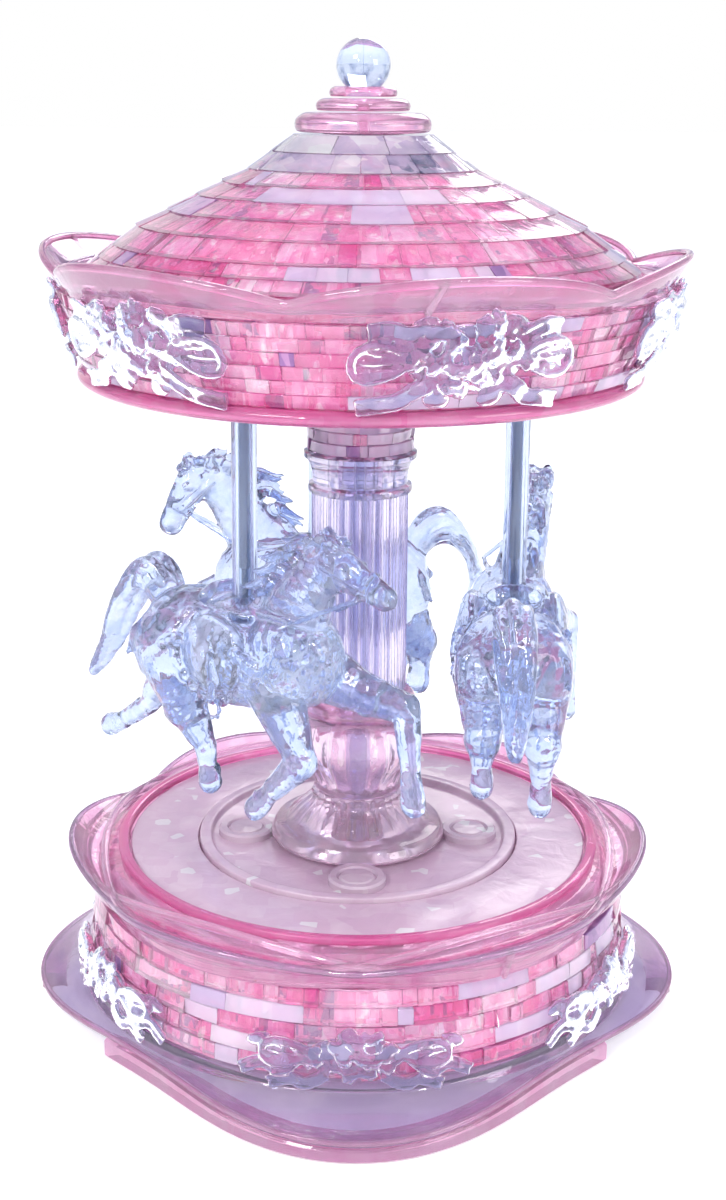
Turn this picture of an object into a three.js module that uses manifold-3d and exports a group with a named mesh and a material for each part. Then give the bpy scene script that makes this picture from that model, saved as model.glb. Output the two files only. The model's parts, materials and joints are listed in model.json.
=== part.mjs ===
// Carousel music box: a clear and pink moulded carousel on a scalloped base drum.
// Millimetres, +Z up, origin on the axis at the level of the surface it stands on.
// Angles called phi run from the front (-Y) towards +X.
import * as THREE from 'three';
import { mergeVertices } from 'three/addons/utils/BufferGeometryUtils.js';
import Module from 'manifold-3d';

const wasm = await Module();
wasm.setup();

// ---- driving dimensions ----
const gap = 0.3; // clearance between pieces that touch
const sides = 30; // facets of a plain round piece
const wavySides = 60; // facets of a scalloped piece
const bluntEnd = 0.7; // how far a limb's end stands past its centre, in radii

const skirt = { radius: 59.1, wave: 4.5, lobes: 4, edgeLow: 2.9, edgeWave: 1.4, wallRadius: 54.2, top: 9.4 };
const footStrip = { height: 2.5, width: 6 };
const drum = { bottom: 9.7, top: 25.9, courses: 5, outerLow: 53.4, outerHigh: 52, inner: 30 };
const floorPlate = { bottom: 6.8, top: 8.6, hole: 4.2 };
const flange = { inner: 46.3, radius: 54.7, wave: 2.3, lift: 1.9, bottom: 26.2, top: 31.6 };
const platform = { radius: 44.9, top: 32.3, thickness: 3, innerRadius: 31.4, hub: 8.6 };
const lip = { inner: 45.2, outer: 47.4, top: 33.4, bottom: 31.9 };
const peg = { radius: 5.5, distance: 22.2, height: 1.1, count: 4 };
const columnBore = 4;
const shaft = { radius: 9.2, flute: 0.55, flutes: 20, bottom: 62.8, top: 102.4 };
const canopy = {
  floorBottom: 124.5, floorTop: 127.2, floorRadius: 52.7, wallLow: 51.6, wallHigh: 55.6, wallTop: 141.6,
  wallInner: 40, courses: 3, petalRadius: 57.7, petalWave: 2.2, petalLift: 2.4, turn: 17.7,
};
const roofOutline = [[50.6, 145.2], [45, 149.4], [40.8, 152.7], [30, 158.2], [20.7, 162.8], [12.4, 169]];
const tiers = [[12.3, 169.3, 172.8, 0], [8.5, 173.1, 175.3, 0], [6.1, 175.6, 177.4, 3.7]]; // radius, bottom, top, hole
const finialBall = { radius: 4.9, centre: 181.1 };
const rider = { distance: 30, poleRadius: 2.3, channelRadius: 1.1, turns: [-43.4, 76.6, 196.6], yaws: [0, 10, 0] };
const garland = { count: 6, canopyMiddle: 136.2, baseMiddle: 14.6 };
const movement = {
  plateBottom: 8.9, plateTop: 10.1, module: 0.6, wheelTeeth: 24, pinionTeeth: 12,
  gearBottom: 21.6, gearTop: 23.4, pinBottom: 17.7, cylinderHeight: 14.6, cylinderRadius: 3.2,
};
const barrelX = -movement.module * movement.wheelTeeth; // the two equal wheels touch at their pitch circles
const governorDistance = movement.module * (movement.wheelTeeth + movement.pinionTeeth) / 2;
const governorTurn = Math.PI / 3;

// ---- finishes ----
const finishes = {
  pink: { color: 0xeb8cbe, roughness: 0.12 },
  deepPink: { color: 0xe85aa0, roughness: 0.12 },
  lavender: { color: 0xb4a5d2, roughness: 0.1 },
  clear: { color: 0xbecdeb, roughness: 0.06 },
  brass: { color: 0xc9a45a, roughness: 0.3, metalness: 1 },
  steel: { color: 0xb8bcc2, roughness: 0.3, metalness: 1 },
};

// ---- helpers ----
const toRad = THREE.MathUtils.degToRad;
const root = new THREE.Group();

// A closed mesh with merged corners whose faces point out.
function closed(geometry) {
  geometry.deleteAttribute('normal');
  geometry.deleteAttribute('uv');
  const merged = mergeVertices(geometry, 1e-4);
  const index = merged.index.array;
  const kept = [];
  for (let i = 0; i < index.length; i += 3) {
    const [a, b, c] = [index[i], index[i + 1], index[i + 2]];
    if (a !== b && b !== c && a !== c) kept.push(a, b, c);
  }
  const position = merged.attributes.position;
  const corners = [new THREE.Vector3(), new THREE.Vector3(), new THREE.Vector3()];
  let volume = 0;
  for (let i = 0; i < kept.length; i += 3) {
    corners.forEach((corner, k) => corner.fromBufferAttribute(position, kept[i + k]));
    volume += corners[0].dot(corners[1].clone().cross(corners[2]));
  }
  if (volume < 0) {
    for (let i = 0; i < kept.length; i += 3) [kept[i + 1], kept[i + 2]] = [kept[i + 2], kept[i + 1]];
  }
  merged.setIndex(kept);
  return merged;
}

function toSolid(geometry) {
  const merged = closed(geometry);
  return new wasm.Manifold(new wasm.Mesh({
    numProp: 3,
    vertProperties: new Float32Array(merged.attributes.position.array),
    triVerts: new Uint32Array(merged.index.array),
  }));
}

function toGeometry(solid) {
  const mesh = solid.getMesh();
  const geometry = new THREE.BufferGeometry();
  geometry.setAttribute('position', new THREE.BufferAttribute(mesh.vertProperties, 3));
  geometry.setIndex(new THREE.BufferAttribute(mesh.triVerts, 1));
  return geometry;
}

const join = (pieces) => toGeometry(pieces.map(toSolid).reduce((whole, piece) => whole.add(piece)));
const cut = (piece, tools) => toGeometry(tools.map(toSolid).reduce((rest, tool) => rest.subtract(tool), toSolid(piece)));

// A round solid from a [radius, height] outline that closes on itself or ends on the axis.
function turned(outline, facets = sides) {
  const points = outline.map(([r, z]) => new THREE.Vector2(r, z));
  if (outline[0][0] > 0 || outline.at(-1)[0] > 0) points.push(points[0].clone());
  return new THREE.LatheGeometry(points, facets).rotateX(Math.PI / 2);
}

const ring = (inner, outer, bottom, top, facets) => turned(
  [[inner, bottom], [outer, bottom], [outer, top], [inner, top]], facets);
const disc = (radius, bottom, top, facets) => turned([[0, bottom], [radius, bottom], [radius, top], [0, top]], facets);

// Moves every corner of a round solid by a rule of its angle, radius and height.
function reshape(geometry, rule) {
  const position = geometry.attributes.position;
  for (let i = 0; i < position.count; i += 1) {
    const [x, y] = [position.getX(i), position.getY(i)];
    const phi = Math.atan2(x, -y);
    const [r, z] = rule(phi, Math.hypot(x, y), position.getZ(i));
    position.setXYZ(i, r * Math.sin(phi), -r * Math.cos(phi), z);
  }
  return geometry;
}

function extruded(shape, bottom, top, curveSegments = 8) {
  const geometry = new THREE.ExtrudeGeometry(shape, { depth: top - bottom, bevelEnabled: false, curveSegments });
  return geometry.translate(0, 0, bottom);
}

// A tapered limb with blunt ends between two points.
function limb(from, to, fromRadius, toRadius, facets = 6) {
  const start = new THREE.Vector3(...from);
  const axis = new THREE.Vector3(...to).sub(start);
  const length = axis.length();
  const outline = [
    [0, -fromRadius * bluntEnd], [fromRadius, 0], [toRadius, length], [0, length + toRadius * bluntEnd],
  ];
  const geometry = new THREE.LatheGeometry(outline.map(([r, h]) => new THREE.Vector2(r, h)), facets);
  geometry.applyQuaternion(new THREE.Quaternion().setFromUnitVectors(new THREE.Vector3(0, 1, 0), axis.normalize()));
  return geometry.translate(start.x, start.y, start.z);
}

const ball = (centre, radii) => new THREE.SphereGeometry(1, 7, 4).scale(...radii).translate(...centre);

function add(name, geometry, finish, placement = {}) {
  const mesh = new THREE.Mesh(closed(geometry), new THREE.MeshStandardMaterial(finishes[finish]));
  mesh.name = name;
  mesh.position.set(...(placement.position ?? [0, 0, 0]));
  mesh.rotation.z = placement.turn ?? 0;
  root.add(mesh);
  return mesh;
}

// ---- skirt tray and foot strips ----
const skirtEdge = (phi) => skirt.radius + skirt.wave * Math.cos(skirt.lobes * phi);
const skirtLevel = (phi) => skirt.edgeLow + skirt.edgeWave * (1 - Math.cos(skirt.lobes * phi)) / 2;

const tray = turned([
  [floorPlate.hole, floorPlate.bottom], [47, floorPlate.bottom], [52.5, 6.2], [skirt.radius, skirt.edgeLow],
  [skirt.radius, skirt.edgeLow + 1.7], [56, 7.2], [skirt.wallRadius, skirt.top], [52, 8.6],
  [floorPlate.hole, floorPlate.top],
], wavySides);
reshape(tray, (phi, r, z) => {
  const reach = THREE.MathUtils.clamp((r - 52.5) / (skirt.radius - 52.5), 0, 1);
  const wave = (skirtEdge(phi) - skirt.radius) * reach ** 1.4;
  return [r + wave, z + (skirtLevel(phi) - skirt.edgeLow) * reach];
});
add('skirt_tray', cut(tray, [disc(floorPlate.hole, 0, 20, 24).translate(barrelX, 0, 0)]), 'lavender');

function stripShape(fromTurn, toTurn) {
  const steps = 12;
  const outer = [];
  const inner = [];
  for (let i = 0; i <= steps; i += 1) {
    const phi = toRad(fromTurn + (toTurn - fromTurn) * i / steps);
    const r = skirtEdge(phi);
    outer.push(new THREE.Vector2(r * Math.sin(phi), -r * Math.cos(phi)));
    const back = r - footStrip.width;
    inner.unshift(new THREE.Vector2(back * Math.sin(phi), -back * Math.cos(phi)));
  }
  return new THREE.Shape([...outer, ...inner]);
}
const strips = { foot_strip_front: [-57, 57], foot_strip_right: [85, 165], foot_strip_left: [-165, -85] };
for (const [name, [from, to]] of Object.entries(strips)) {
  add(name, extruded(stripShape(from, to), 0, footStrip.height), 'deepPink');
}

// ---- base drum ----
const courseHeight = (drum.top - drum.bottom) / drum.courses;
const drumRadius = (z) => THREE.MathUtils.mapLinear(z, drum.bottom, drum.top, drum.outerLow, drum.outerHigh);
for (let i = 0; i < drum.courses; i += 1) {
  const bottom = drum.bottom + i * courseHeight;
  const top = bottom + courseHeight - gap;
  add(`drum_course_${i + 1}`, turned([
    [drum.inner, bottom], [drumRadius(bottom), bottom], [drumRadius(top), top], [drum.inner, top],
  ]), 'pink');
}

const flangeWave = (phi) => Math.cos(6 * (phi - toRad(30)));
const rim = turned([
  [flange.inner, flange.bottom], [50, flange.bottom], [flange.radius - 1.6, 27.2],
  [flange.radius, flange.top - 1.2], [flange.radius - 1, flange.top], [50, 30.4], [flange.inner, 31.6],
], wavySides);
reshape(rim, (phi, r, z) => {
  const reach = THREE.MathUtils.clamp((r - 50) / (flange.radius - 50), 0, 1);
  return [r + flange.wave * flangeWave(phi) * reach, z + flange.lift * flangeWave(phi) * reach * (z > 28 ? 1 : 0.2)];
});
add('base_flange', rim, 'lavender');

// ---- platform ----
const platformBottom = platform.top - platform.thickness;
add('platform_disc', ring(platform.innerRadius + gap, platform.radius, platformBottom, platform.top), 'pink');
add('lip_ring', turned([
  [lip.inner, lip.bottom], [lip.outer, lip.bottom], [lip.outer, lip.top - 0.6],
  [lip.outer - 0.7, lip.top], [lip.inner + 0.5, lip.top],
]), 'deepPink');
const innerDisc = turned([
  [platform.hub, platformBottom], [platform.innerRadius, platformBottom], [platform.innerRadius, platform.top + 0.8],
  [platform.innerRadius - 2.2, platform.top + 0.8], [platform.innerRadius - 2.6, platform.top - 0.4],
  [platform.hub, platform.top - 0.4],
]);
const pegs = [];
for (let i = 0; i < peg.count; i += 1) {
  const phi = i * 2 * Math.PI / peg.count;
  pegs.push(disc(peg.radius, platformBottom + 1, platform.top + peg.height, 16)
    .translate(peg.distance * Math.sin(phi), -peg.distance * Math.cos(phi), 0));
}
add('inner_disc', join([innerDisc, ...pegs]), 'lavender');
add('support_plate', ring(columnBore, 46, 26.2, platformBottom - gap), 'clear');

// ---- pedestal and column ----
add('pedestal_bell', turned([
  [columnBore, 29.3], [platform.hub - gap, 29.3], [platform.hub - gap, 32.4], [16.6, 32.4], [16.8, 34.2], [14.2, 35.4],
  [11.9, 38.2], [8.4, 42.2], [columnBore, 42.2],
], 32), 'pink');
add('pedestal_neck', turned([
  [columnBore, 42.5], [8.3, 42.5], [8.9, 45.4], [12, 50.4], [12.2, 54.2], [10, 58], [columnBore, 58],
], 32), 'pink');
add('column_foot', turned([
  [columnBore, 58.3], [10, 58.3], [11.2, 59.6], [11.2, 61], [10, 62.5], [columnBore, 62.5],
], 32), 'pink');

const flutes = new THREE.Shape();
for (let i = 0; i < shaft.flutes * 2; i += 1) {
  const angle = Math.PI * i / shaft.flutes;
  const radius = shaft.radius - (i % 2) * shaft.flute;
  if (i === 0) flutes.moveTo(radius, 0);
  else flutes.lineTo(radius * Math.cos(angle), radius * Math.sin(angle));
}
flutes.holes.push(new THREE.Path().absarc(0, 0, columnBore, 0, Math.PI * 2, true));
add('column_shaft', extruded(flutes, shaft.bottom, shaft.top), 'lavender');
add('capital', turned([
  [columnBore, 102.7], [9.9, 102.7], [9.9, 104], [9.1, 104.4], [9.3, 107], [10.2, 109], [10.7, 109.3],
  [10.7, 110.4], [columnBore, 110.4],
], 32), 'clear');

// ---- carousel: spindle, collar and canopy ----
const gearRadius = movement.module * movement.wheelTeeth / 2;

function gearShape(teeth, phase = 0) {
  const pitchRadius = movement.module * teeth / 2;
  const pitch = 2 * Math.PI / teeth;
  const shape = new THREE.Shape();
  const flanks = [[-0.27, -0.65], [-0.12, 0.45], [0.12, 0.45], [0.27, -0.65]];
  for (let i = 0; i < teeth; i += 1) {
    flanks.forEach(([along, depth], k) => {
      const angle = phase + (i + along) * pitch;
      const radius = pitchRadius + depth;
      const point = [radius * Math.cos(angle), radius * Math.sin(angle)];
      if (i === 0 && k === 0) shape.moveTo(...point);
      else shape.lineTo(...point);
    });
  }
  return shape;
}

const crownPins = [];
for (let i = 0; i < movement.wheelTeeth; i += 1) {
  const angle = (i + 0.5) * 2 * Math.PI / movement.wheelTeeth;
  crownPins.push(disc(0.33, movement.pinBottom, movement.gearBottom + 0.5, 6)
    .translate(6 * Math.cos(angle), 6 * Math.sin(angle), 0));
}
add('spindle', join([
  turned([[0, 10.6], [1.5, 10.6], [1.5, 25], [3.5, 25], [3.5, 148], [2.2, 148], [2.2, 162], [0, 162]], 16),
  extruded(gearShape(movement.wheelTeeth), movement.gearBottom, movement.gearTop),
  ...crownPins,
]), 'clear');

const spindleBore = 3.5 + gap;
add('collar', ring(spindleBore, 10.2, 110.8, canopy.floorBottom - gap, 32), 'pink');
add('canopy_floor', turned([
  [spindleBore, canopy.floorBottom], [canopy.floorRadius - 1, canopy.floorBottom], [canopy.floorRadius, 125.2],
  [canopy.floorRadius, 126.5], [canopy.floorRadius - 1, canopy.floorTop], [spindleBore, canopy.floorTop],
]), 'deepPink');

const wallStart = canopy.floorTop + gap;
const wallStep = (canopy.wallTop - wallStart) / canopy.courses;
const wallRadius = (z) => THREE.MathUtils.mapLinear(z, wallStart, canopy.wallTop, canopy.wallLow, canopy.wallHigh);
for (let i = 0; i < canopy.courses; i += 1) {
  const bottom = wallStart + i * wallStep;
  const top = bottom + wallStep - gap;
  add(`canopy_course_${i + 1}`, turned([
    [canopy.wallInner, bottom], [wallRadius(bottom), bottom], [wallRadius(top), top], [canopy.wallInner, top],
  ]), 'pink');
}

const petalWave = (phi) => Math.cos(6 * (phi - toRad(canopy.turn)));
const petals = turned([
  [canopy.wallInner, 141.6], [54.4, 141.6], [canopy.petalRadius, 144.6], [canopy.petalRadius - 1, 145.8],
  [52, 144.9], [canopy.wallInner, 144.9],
], wavySides);
reshape(petals, (phi, r, z) => {
  const reach = THREE.MathUtils.clamp((r - 52) / (canopy.petalRadius - 52), 0, 1);
  const lift = canopy.petalLift * (petalWave(phi) + 0.2) * reach ** 1.5;
  return [r + canopy.petalWave * petalWave(phi) * reach, Math.max(z + lift, canopy.wallTop)];
});
add('petal_rim', petals, 'pink');

const roofDepth = 8; // how far a roof course reaches inwards
for (let i = 0; i < roofOutline.length - 1; i += 1) {
  const [outerLow, low] = roofOutline[i];
  const [outerHigh, high] = roofOutline[i + 1];
  const top = high - gap;
  const inner = Math.max(outerHigh - roofDepth, spindleBore);
  add(`roof_course_${i + 1}`, turned([[inner, low], [outerLow, low], [outerHigh, top], [inner, top]]),
    i === roofOutline.length - 2 ? 'clear' : 'pink');
}
tiers.forEach(([radius, bottom, top, hole], i) => {
  const crown = (top - bottom) * 0.4;
  add(`cap_tier_${i + 1}`, turned([
    [hole, bottom], [radius, bottom], [radius, top - crown], [radius - crown, top], [hole, top],
  ], 24), 'pink');
});
add('finial', join([
  new THREE.SphereGeometry(finialBall.radius, 16, 10).translate(0, 0, finialBall.centre),
  disc(2, 175.6, 178, 12),
]), 'clear');

// ---- garlands: a bouquet between two bows, bent round the wall that they hang on ----
function garlandSolid(width, height) {
  const [half, tall] = [width / 2, height / 2];
  return join([
    ball([0, 1.5, 0], [half * 0.5, 1.6, tall * 0.82]),
    ball([-half * 0.62, 1.3, tall * 0.25], [half * 0.38, 1.2, tall * 0.42]),
    ball([half * 0.62, 1.3, tall * 0.25], [half * 0.38, 1.2, tall * 0.42]),
    limb([-half * 0.3, 1.2, 0], [-half * 0.72, 1.2, -tall * 0.82], 1.1, 0.9),
    limb([half * 0.3, 1.2, 0], [half * 0.72, 1.2, -tall * 0.82], 1.1, 0.9),
  ]);
}

// Bends a flat piece (x along the wall, y out of it) round the axis at the angle phi.
function bent(geometry, phi, middle, radiusAt) {
  const position = geometry.attributes.position;
  for (let i = 0; i < position.count; i += 1) {
    const z = position.getZ(i) + middle;
    const r = radiusAt(z) + position.getY(i);
    const turn = phi + position.getX(i) / radiusAt(middle);
    position.setXYZ(i, r * Math.sin(turn), -r * Math.cos(turn), z);
  }
  return geometry;
}

for (let i = 0; i < garland.count; i += 1) {
  const step = i * 2 * Math.PI / garland.count;
  const canopyPhi = step + toRad(canopy.turn);
  add(`canopy_garland_${i + 1}`, bent(garlandSolid(38, 17), canopyPhi, garland.canopyMiddle,
    (z) => wallRadius(z) + gap + 0.3), 'clear');
  add(`base_garland_${i + 1}`, bent(garlandSolid(42, 11.2), step, garland.baseMiddle,
    (z) => drumRadius(z) + gap + 0.2), 'clear');
}

// ---- riders ----
// Points are [forward, left, height]; the pole runs through forward 0, left 0.
const gallop = {
  socket: 84,
  limbs: [
    [[-13, 0, 78], [0, 0, 78.4], 10, 10.4], [[0, 0, 78.4], [13, 0, 80], 10.4, 9.4], // trunk
    [[12, 0, 84], [20, 0, 95], 7, 4.4], [[20, 0, 96.6], [27, 0, 97.2], 4.4, 3.3], // neck and cheek
    [[27, 0, 97.2], [35, 0, 95.4], 3.3, 2.3], [[20, 0, 97], [14, 0, 92], 4.2, 3], // face and mane
    [[-20, 0, 82], [-28, 0, 85], 4, 3.6], [[-28, 0, 85], [-36, 0, 76], 3.6, 3.2], [[-36, 0, 76], [-44, 0, 64], 3.2, 1.6],
    [[-15, 4, 74], [-28.5, 5, 65], 7, 4], [[-28.5, 5, 65], [-34.5, 5, 57], 4, 2.2], [[-34.5, 5, 57], [-46.5, 5, 49.5], 2.2, 1.9],
    [[-14, -5, 74], [-8.5, -6.5, 66], 7, 4], [[-8.5, -6.5, 66], [-3.5, -6.5, 60], 4, 2.3],
    [[-3.5, -6.5, 60], [-3, -6.5, 54.5], 2.3, 2.1],
    [[12, -4.5, 75], [21, -6.5, 63], 5, 2.5], [[21, -6.5, 63], [9, -6.5, 51], 2.2, 2],
    [[14, 4.5, 75], [33.5, 6.5, 73], 5, 2.5], [[33.5, 6.5, 73], [35.5, 6.5, 56], 2.3, 2],
  ],
};
const prance = {
  socket: 82,
  limbs: [
    [[-12, 0, 76], [0, 0, 77], 10, 10.2], [[0, 0, 77], [12, 0, 79], 10.2, 9.2],
    [[12, 0, 82], [17, -3.5, 94], 7, 5], [[17, -3.5, 94], [26, -5, 98], 5, 4.2],
    [[26, -5, 98.5], [30.5, -5.5, 89], 4, 2.5], [[17, -3.5, 97.5], [9, 0, 90], 3.6, 3],
    [[-19, 0, 80], [-27, 0, 85], 4, 3.6], [[-27, 0, 85], [-35, 0, 76], 3.6, 3], [[-35, 0, 76], [-33, 0, 66], 3, 1.6],
    [[-14, 4.5, 72], [-20, 5, 62.5], 7, 3.4], [[-20, 5, 62.5], [-20.5, 5, 53.5], 2.3, 2.1],
    [[-14, -4.5, 72], [-22, -5, 62], 7, 3.2], [[-22, -5, 62], [-18, -5, 49.5], 2.3, 2.1],
    [[12, -4.5, 74], [22, -11.5, 71], 5, 2.5], [[22, -11.5, 71], [19, -11.5, 54.5], 2.3, 2],
    [[12, 4.5, 74], [20, 6, 66], 5, 2.5], [[20, 6, 66], [10, 6, 57], 2.3, 2],
  ],
};

function riderSolid({ socket, limbs }) {
  const figure = join(limbs.map((entry) => limb(...entry)));
  return cut(figure, [disc(rider.poleRadius + gap, socket - gap, 110, 14)]);
}

rider.turns.forEach((turn, i) => {
  const phi = toRad(turn);
  const pose = i === 0 ? gallop : prance;
  const placement = { position: [rider.distance * Math.sin(phi), -rider.distance * Math.cos(phi), 0], turn: phi };
  const heading = { ...placement, turn: phi + toRad(rider.yaws[i]) };
  const poleTop = canopy.floorBottom - gap;
  add(`pole_${i + 1}`, ring(rider.channelRadius, rider.poleRadius, pose.socket, poleTop, 14), 'clear', placement);
  add(`horse_${i + 1}`, riderSolid(pose), 'clear', heading);
});

// ---- musical movement inside the drum ----
const cylinder = { start: 8.8, end: 20.2, post: 1.1, bearing: 1.05, arbor: 0.75 };
const governorAt = [governorDistance * Math.cos(governorTurn), governorDistance * Math.sin(governorTurn), 0];
const plateShape = new THREE.Shape([
  new THREE.Vector2(-23.5, -11), new THREE.Vector2(23.5, -14), new THREE.Vector2(23.5, 13), new THREE.Vector2(-23.5, 11),
]);
const post = (x) => new THREE.BoxGeometry(1, 5, movement.cylinderHeight + 2 - movement.plateTop + 0.5)
  .translate(x, 0, (movement.cylinderHeight + 2 + movement.plateTop - 0.5) / 2);
const bearing = new THREE.CylinderGeometry(cylinder.bearing, cylinder.bearing, 40, 12).rotateZ(Math.PI / 2)
  .translate(20, 0, movement.cylinderHeight);
add('bedplate', cut(
  join([extruded(plateShape, movement.plateBottom, movement.plateTop), post(7.6), post(21.3)]),
  [bearing, disc(1.9, 0, 20, 12).translate(barrelX, 0, 0)],
), 'steel');

const arbor = new THREE.CylinderGeometry(cylinder.arbor, cylinder.arbor, 16.6, 10).rotateZ(Math.PI / 2)
  .translate(13.5, 0, movement.cylinderHeight);
const drumLength = cylinder.end - cylinder.start;
const notes = [];
for (let i = 0; i < 14; i += 1) {
  const angle = i * 2.4; // the pins wind round the drum
  const x = cylinder.start + drumLength * (i + 0.5) / 14;
  notes.push(new THREE.BoxGeometry(0.3, 0.3, 0.8).translate(0, 0, movement.cylinderRadius + 0.1)
    .rotateX(angle).translate(x, 0, movement.cylinderHeight));
}
const crownPitch = 6 / gearRadius; // the crown pins stand on a smaller circle than the wheel's teeth
const cylinderPinion = extruded(gearShape(movement.pinionTeeth), -0.5, 0.5).scale(crownPitch, crownPitch, 1)
  .rotateY(Math.PI / 2).translate(6, 0, movement.cylinderHeight);
add('pinned_cylinder', join([
  new THREE.CylinderGeometry(movement.cylinderRadius, movement.cylinderRadius, drumLength, 20)
    .rotateZ(Math.PI / 2).translate((cylinder.start + cylinder.end) / 2, 0, movement.cylinderHeight),
  arbor, cylinderPinion, ...notes,
]), 'brass');

const combTeeth = 14;
const combShape = new THREE.Shape();
const toothPitch = drumLength / combTeeth;
combShape.moveTo(cylinder.start, -13);
combShape.lineTo(cylinder.end, -13);
for (let i = combTeeth - 1; i >= 0; i -= 1) {
  const right = cylinder.start + (i + 0.85) * toothPitch;
  const left = cylinder.start + (i + 0.15) * toothPitch;
  combShape.lineTo(right, -9);
  combShape.lineTo(right, -3.9);
  combShape.lineTo(left, -3.9);
  combShape.lineTo(left, -9);
}
combShape.lineTo(cylinder.start, -9);
add('comb', join([
  extruded(combShape, movement.cylinderHeight - 0.4, movement.cylinderHeight + 0.4),
  new THREE.BoxGeometry(drumLength, 3, 3.7).translate((cylinder.start + cylinder.end) / 2, -11.5, 12.4),
]), 'steel');

const keyRadius = 1.5;
add('spring_barrel', join([
  turned([[keyRadius + gap, 20.2], [6.5, 20.2], [6.5, 10.6], [5.8, 10.6], [5.8, 19.2], [keyRadius + gap, 19.2]], 24),
  cut(extruded(gearShape(movement.wheelTeeth, Math.PI / movement.wheelTeeth), movement.gearBottom - 1.8,
    movement.gearTop), [disc(keyRadius + gap, 0, 40, 16)]),
]).translate(barrelX, 0, 0), 'brass');

const spring = new THREE.Shape();
const springTurns = 4;
const springSteps = springTurns * 10;
const springAt = (i, offset) => {
  const angle = 2 * Math.PI * springTurns * i / springSteps;
  const radius = 2.5 + 2.5 * i / springSteps + offset;
  return new THREE.Vector2(radius * Math.cos(angle), radius * Math.sin(angle));
};
const springOutline = [];
for (let i = 0; i <= springSteps; i += 1) springOutline.push(springAt(i, 0.12));
for (let i = springSteps; i >= 0; i -= 1) springOutline.push(springAt(i, -0.12));
spring.setFromPoints(springOutline);
add('mainspring', extruded(spring, 11, 18.9).translate(barrelX, 0, 0), 'steel');

add('winding_key', join([
  disc(keyRadius, 3, 18.6, 12),
  ball([-4.6, 0, 3.6], [5, 1, 2.5]),
  ball([4.6, 0, 3.6], [5, 1, 2.5]),
]).translate(barrelX, 0, 0), 'brass');

add('governor', join([
  disc(0.7, 10.5, movement.gearTop, 8),
  extruded(gearShape(movement.pinionTeeth, Math.PI / movement.pinionTeeth + governorTurn + Math.PI),
    movement.gearBottom, movement.gearTop),
  new THREE.BoxGeometry(7, 0.5, 7).translate(0, 0, 15.5),
]).translate(...governorAt), 'brass');

export default root;
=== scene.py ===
# Carousel music box in clear and pink moulded acrylic: the looks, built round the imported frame.
import json
import random
from math import cos, pi, radians, sin, sqrt, tau

import bpy
from mathutils import Euler, Matrix, Vector, noise


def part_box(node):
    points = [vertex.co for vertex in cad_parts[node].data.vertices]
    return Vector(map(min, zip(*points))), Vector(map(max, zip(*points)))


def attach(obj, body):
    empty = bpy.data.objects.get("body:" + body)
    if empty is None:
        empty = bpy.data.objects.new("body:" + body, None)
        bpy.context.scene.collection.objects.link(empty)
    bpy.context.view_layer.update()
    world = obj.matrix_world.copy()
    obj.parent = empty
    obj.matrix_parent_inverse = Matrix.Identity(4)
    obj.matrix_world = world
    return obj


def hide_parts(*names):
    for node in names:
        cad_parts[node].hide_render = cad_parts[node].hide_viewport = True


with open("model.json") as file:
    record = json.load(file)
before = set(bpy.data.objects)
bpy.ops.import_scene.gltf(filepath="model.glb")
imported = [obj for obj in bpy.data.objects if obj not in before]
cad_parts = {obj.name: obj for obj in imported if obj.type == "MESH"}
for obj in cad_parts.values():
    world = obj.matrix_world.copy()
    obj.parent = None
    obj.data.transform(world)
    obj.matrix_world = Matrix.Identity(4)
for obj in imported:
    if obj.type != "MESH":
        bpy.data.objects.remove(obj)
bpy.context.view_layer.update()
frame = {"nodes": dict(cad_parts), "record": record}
mm = 0.001


# places, read from the frame in millimetres
def lowOf(node):
    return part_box(node)[0].z / mm


def highOf(node):
    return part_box(node)[1].z / mm


def reachOf(node):
    low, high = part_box(node)
    return max(-low.x, high.x, -low.y, high.y) / mm


def bodyOf(node):
    for body, nodes in frame["record"]["behaviour"]["bodies"].items():
        if node in nodes:
            return body
    return "base"


# finishes
def rgb(shade):
    # a shade such as 0xf280c0 as a linear colour
    def linear(value):
        value = value / 255
        return value / 12.92 if value <= 0.04045 else ((value + 0.055) / 1.055) ** 2.4
    return (linear(shade >> 16), linear(shade >> 8 & 255), linear(shade & 255), 1.0)


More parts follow.
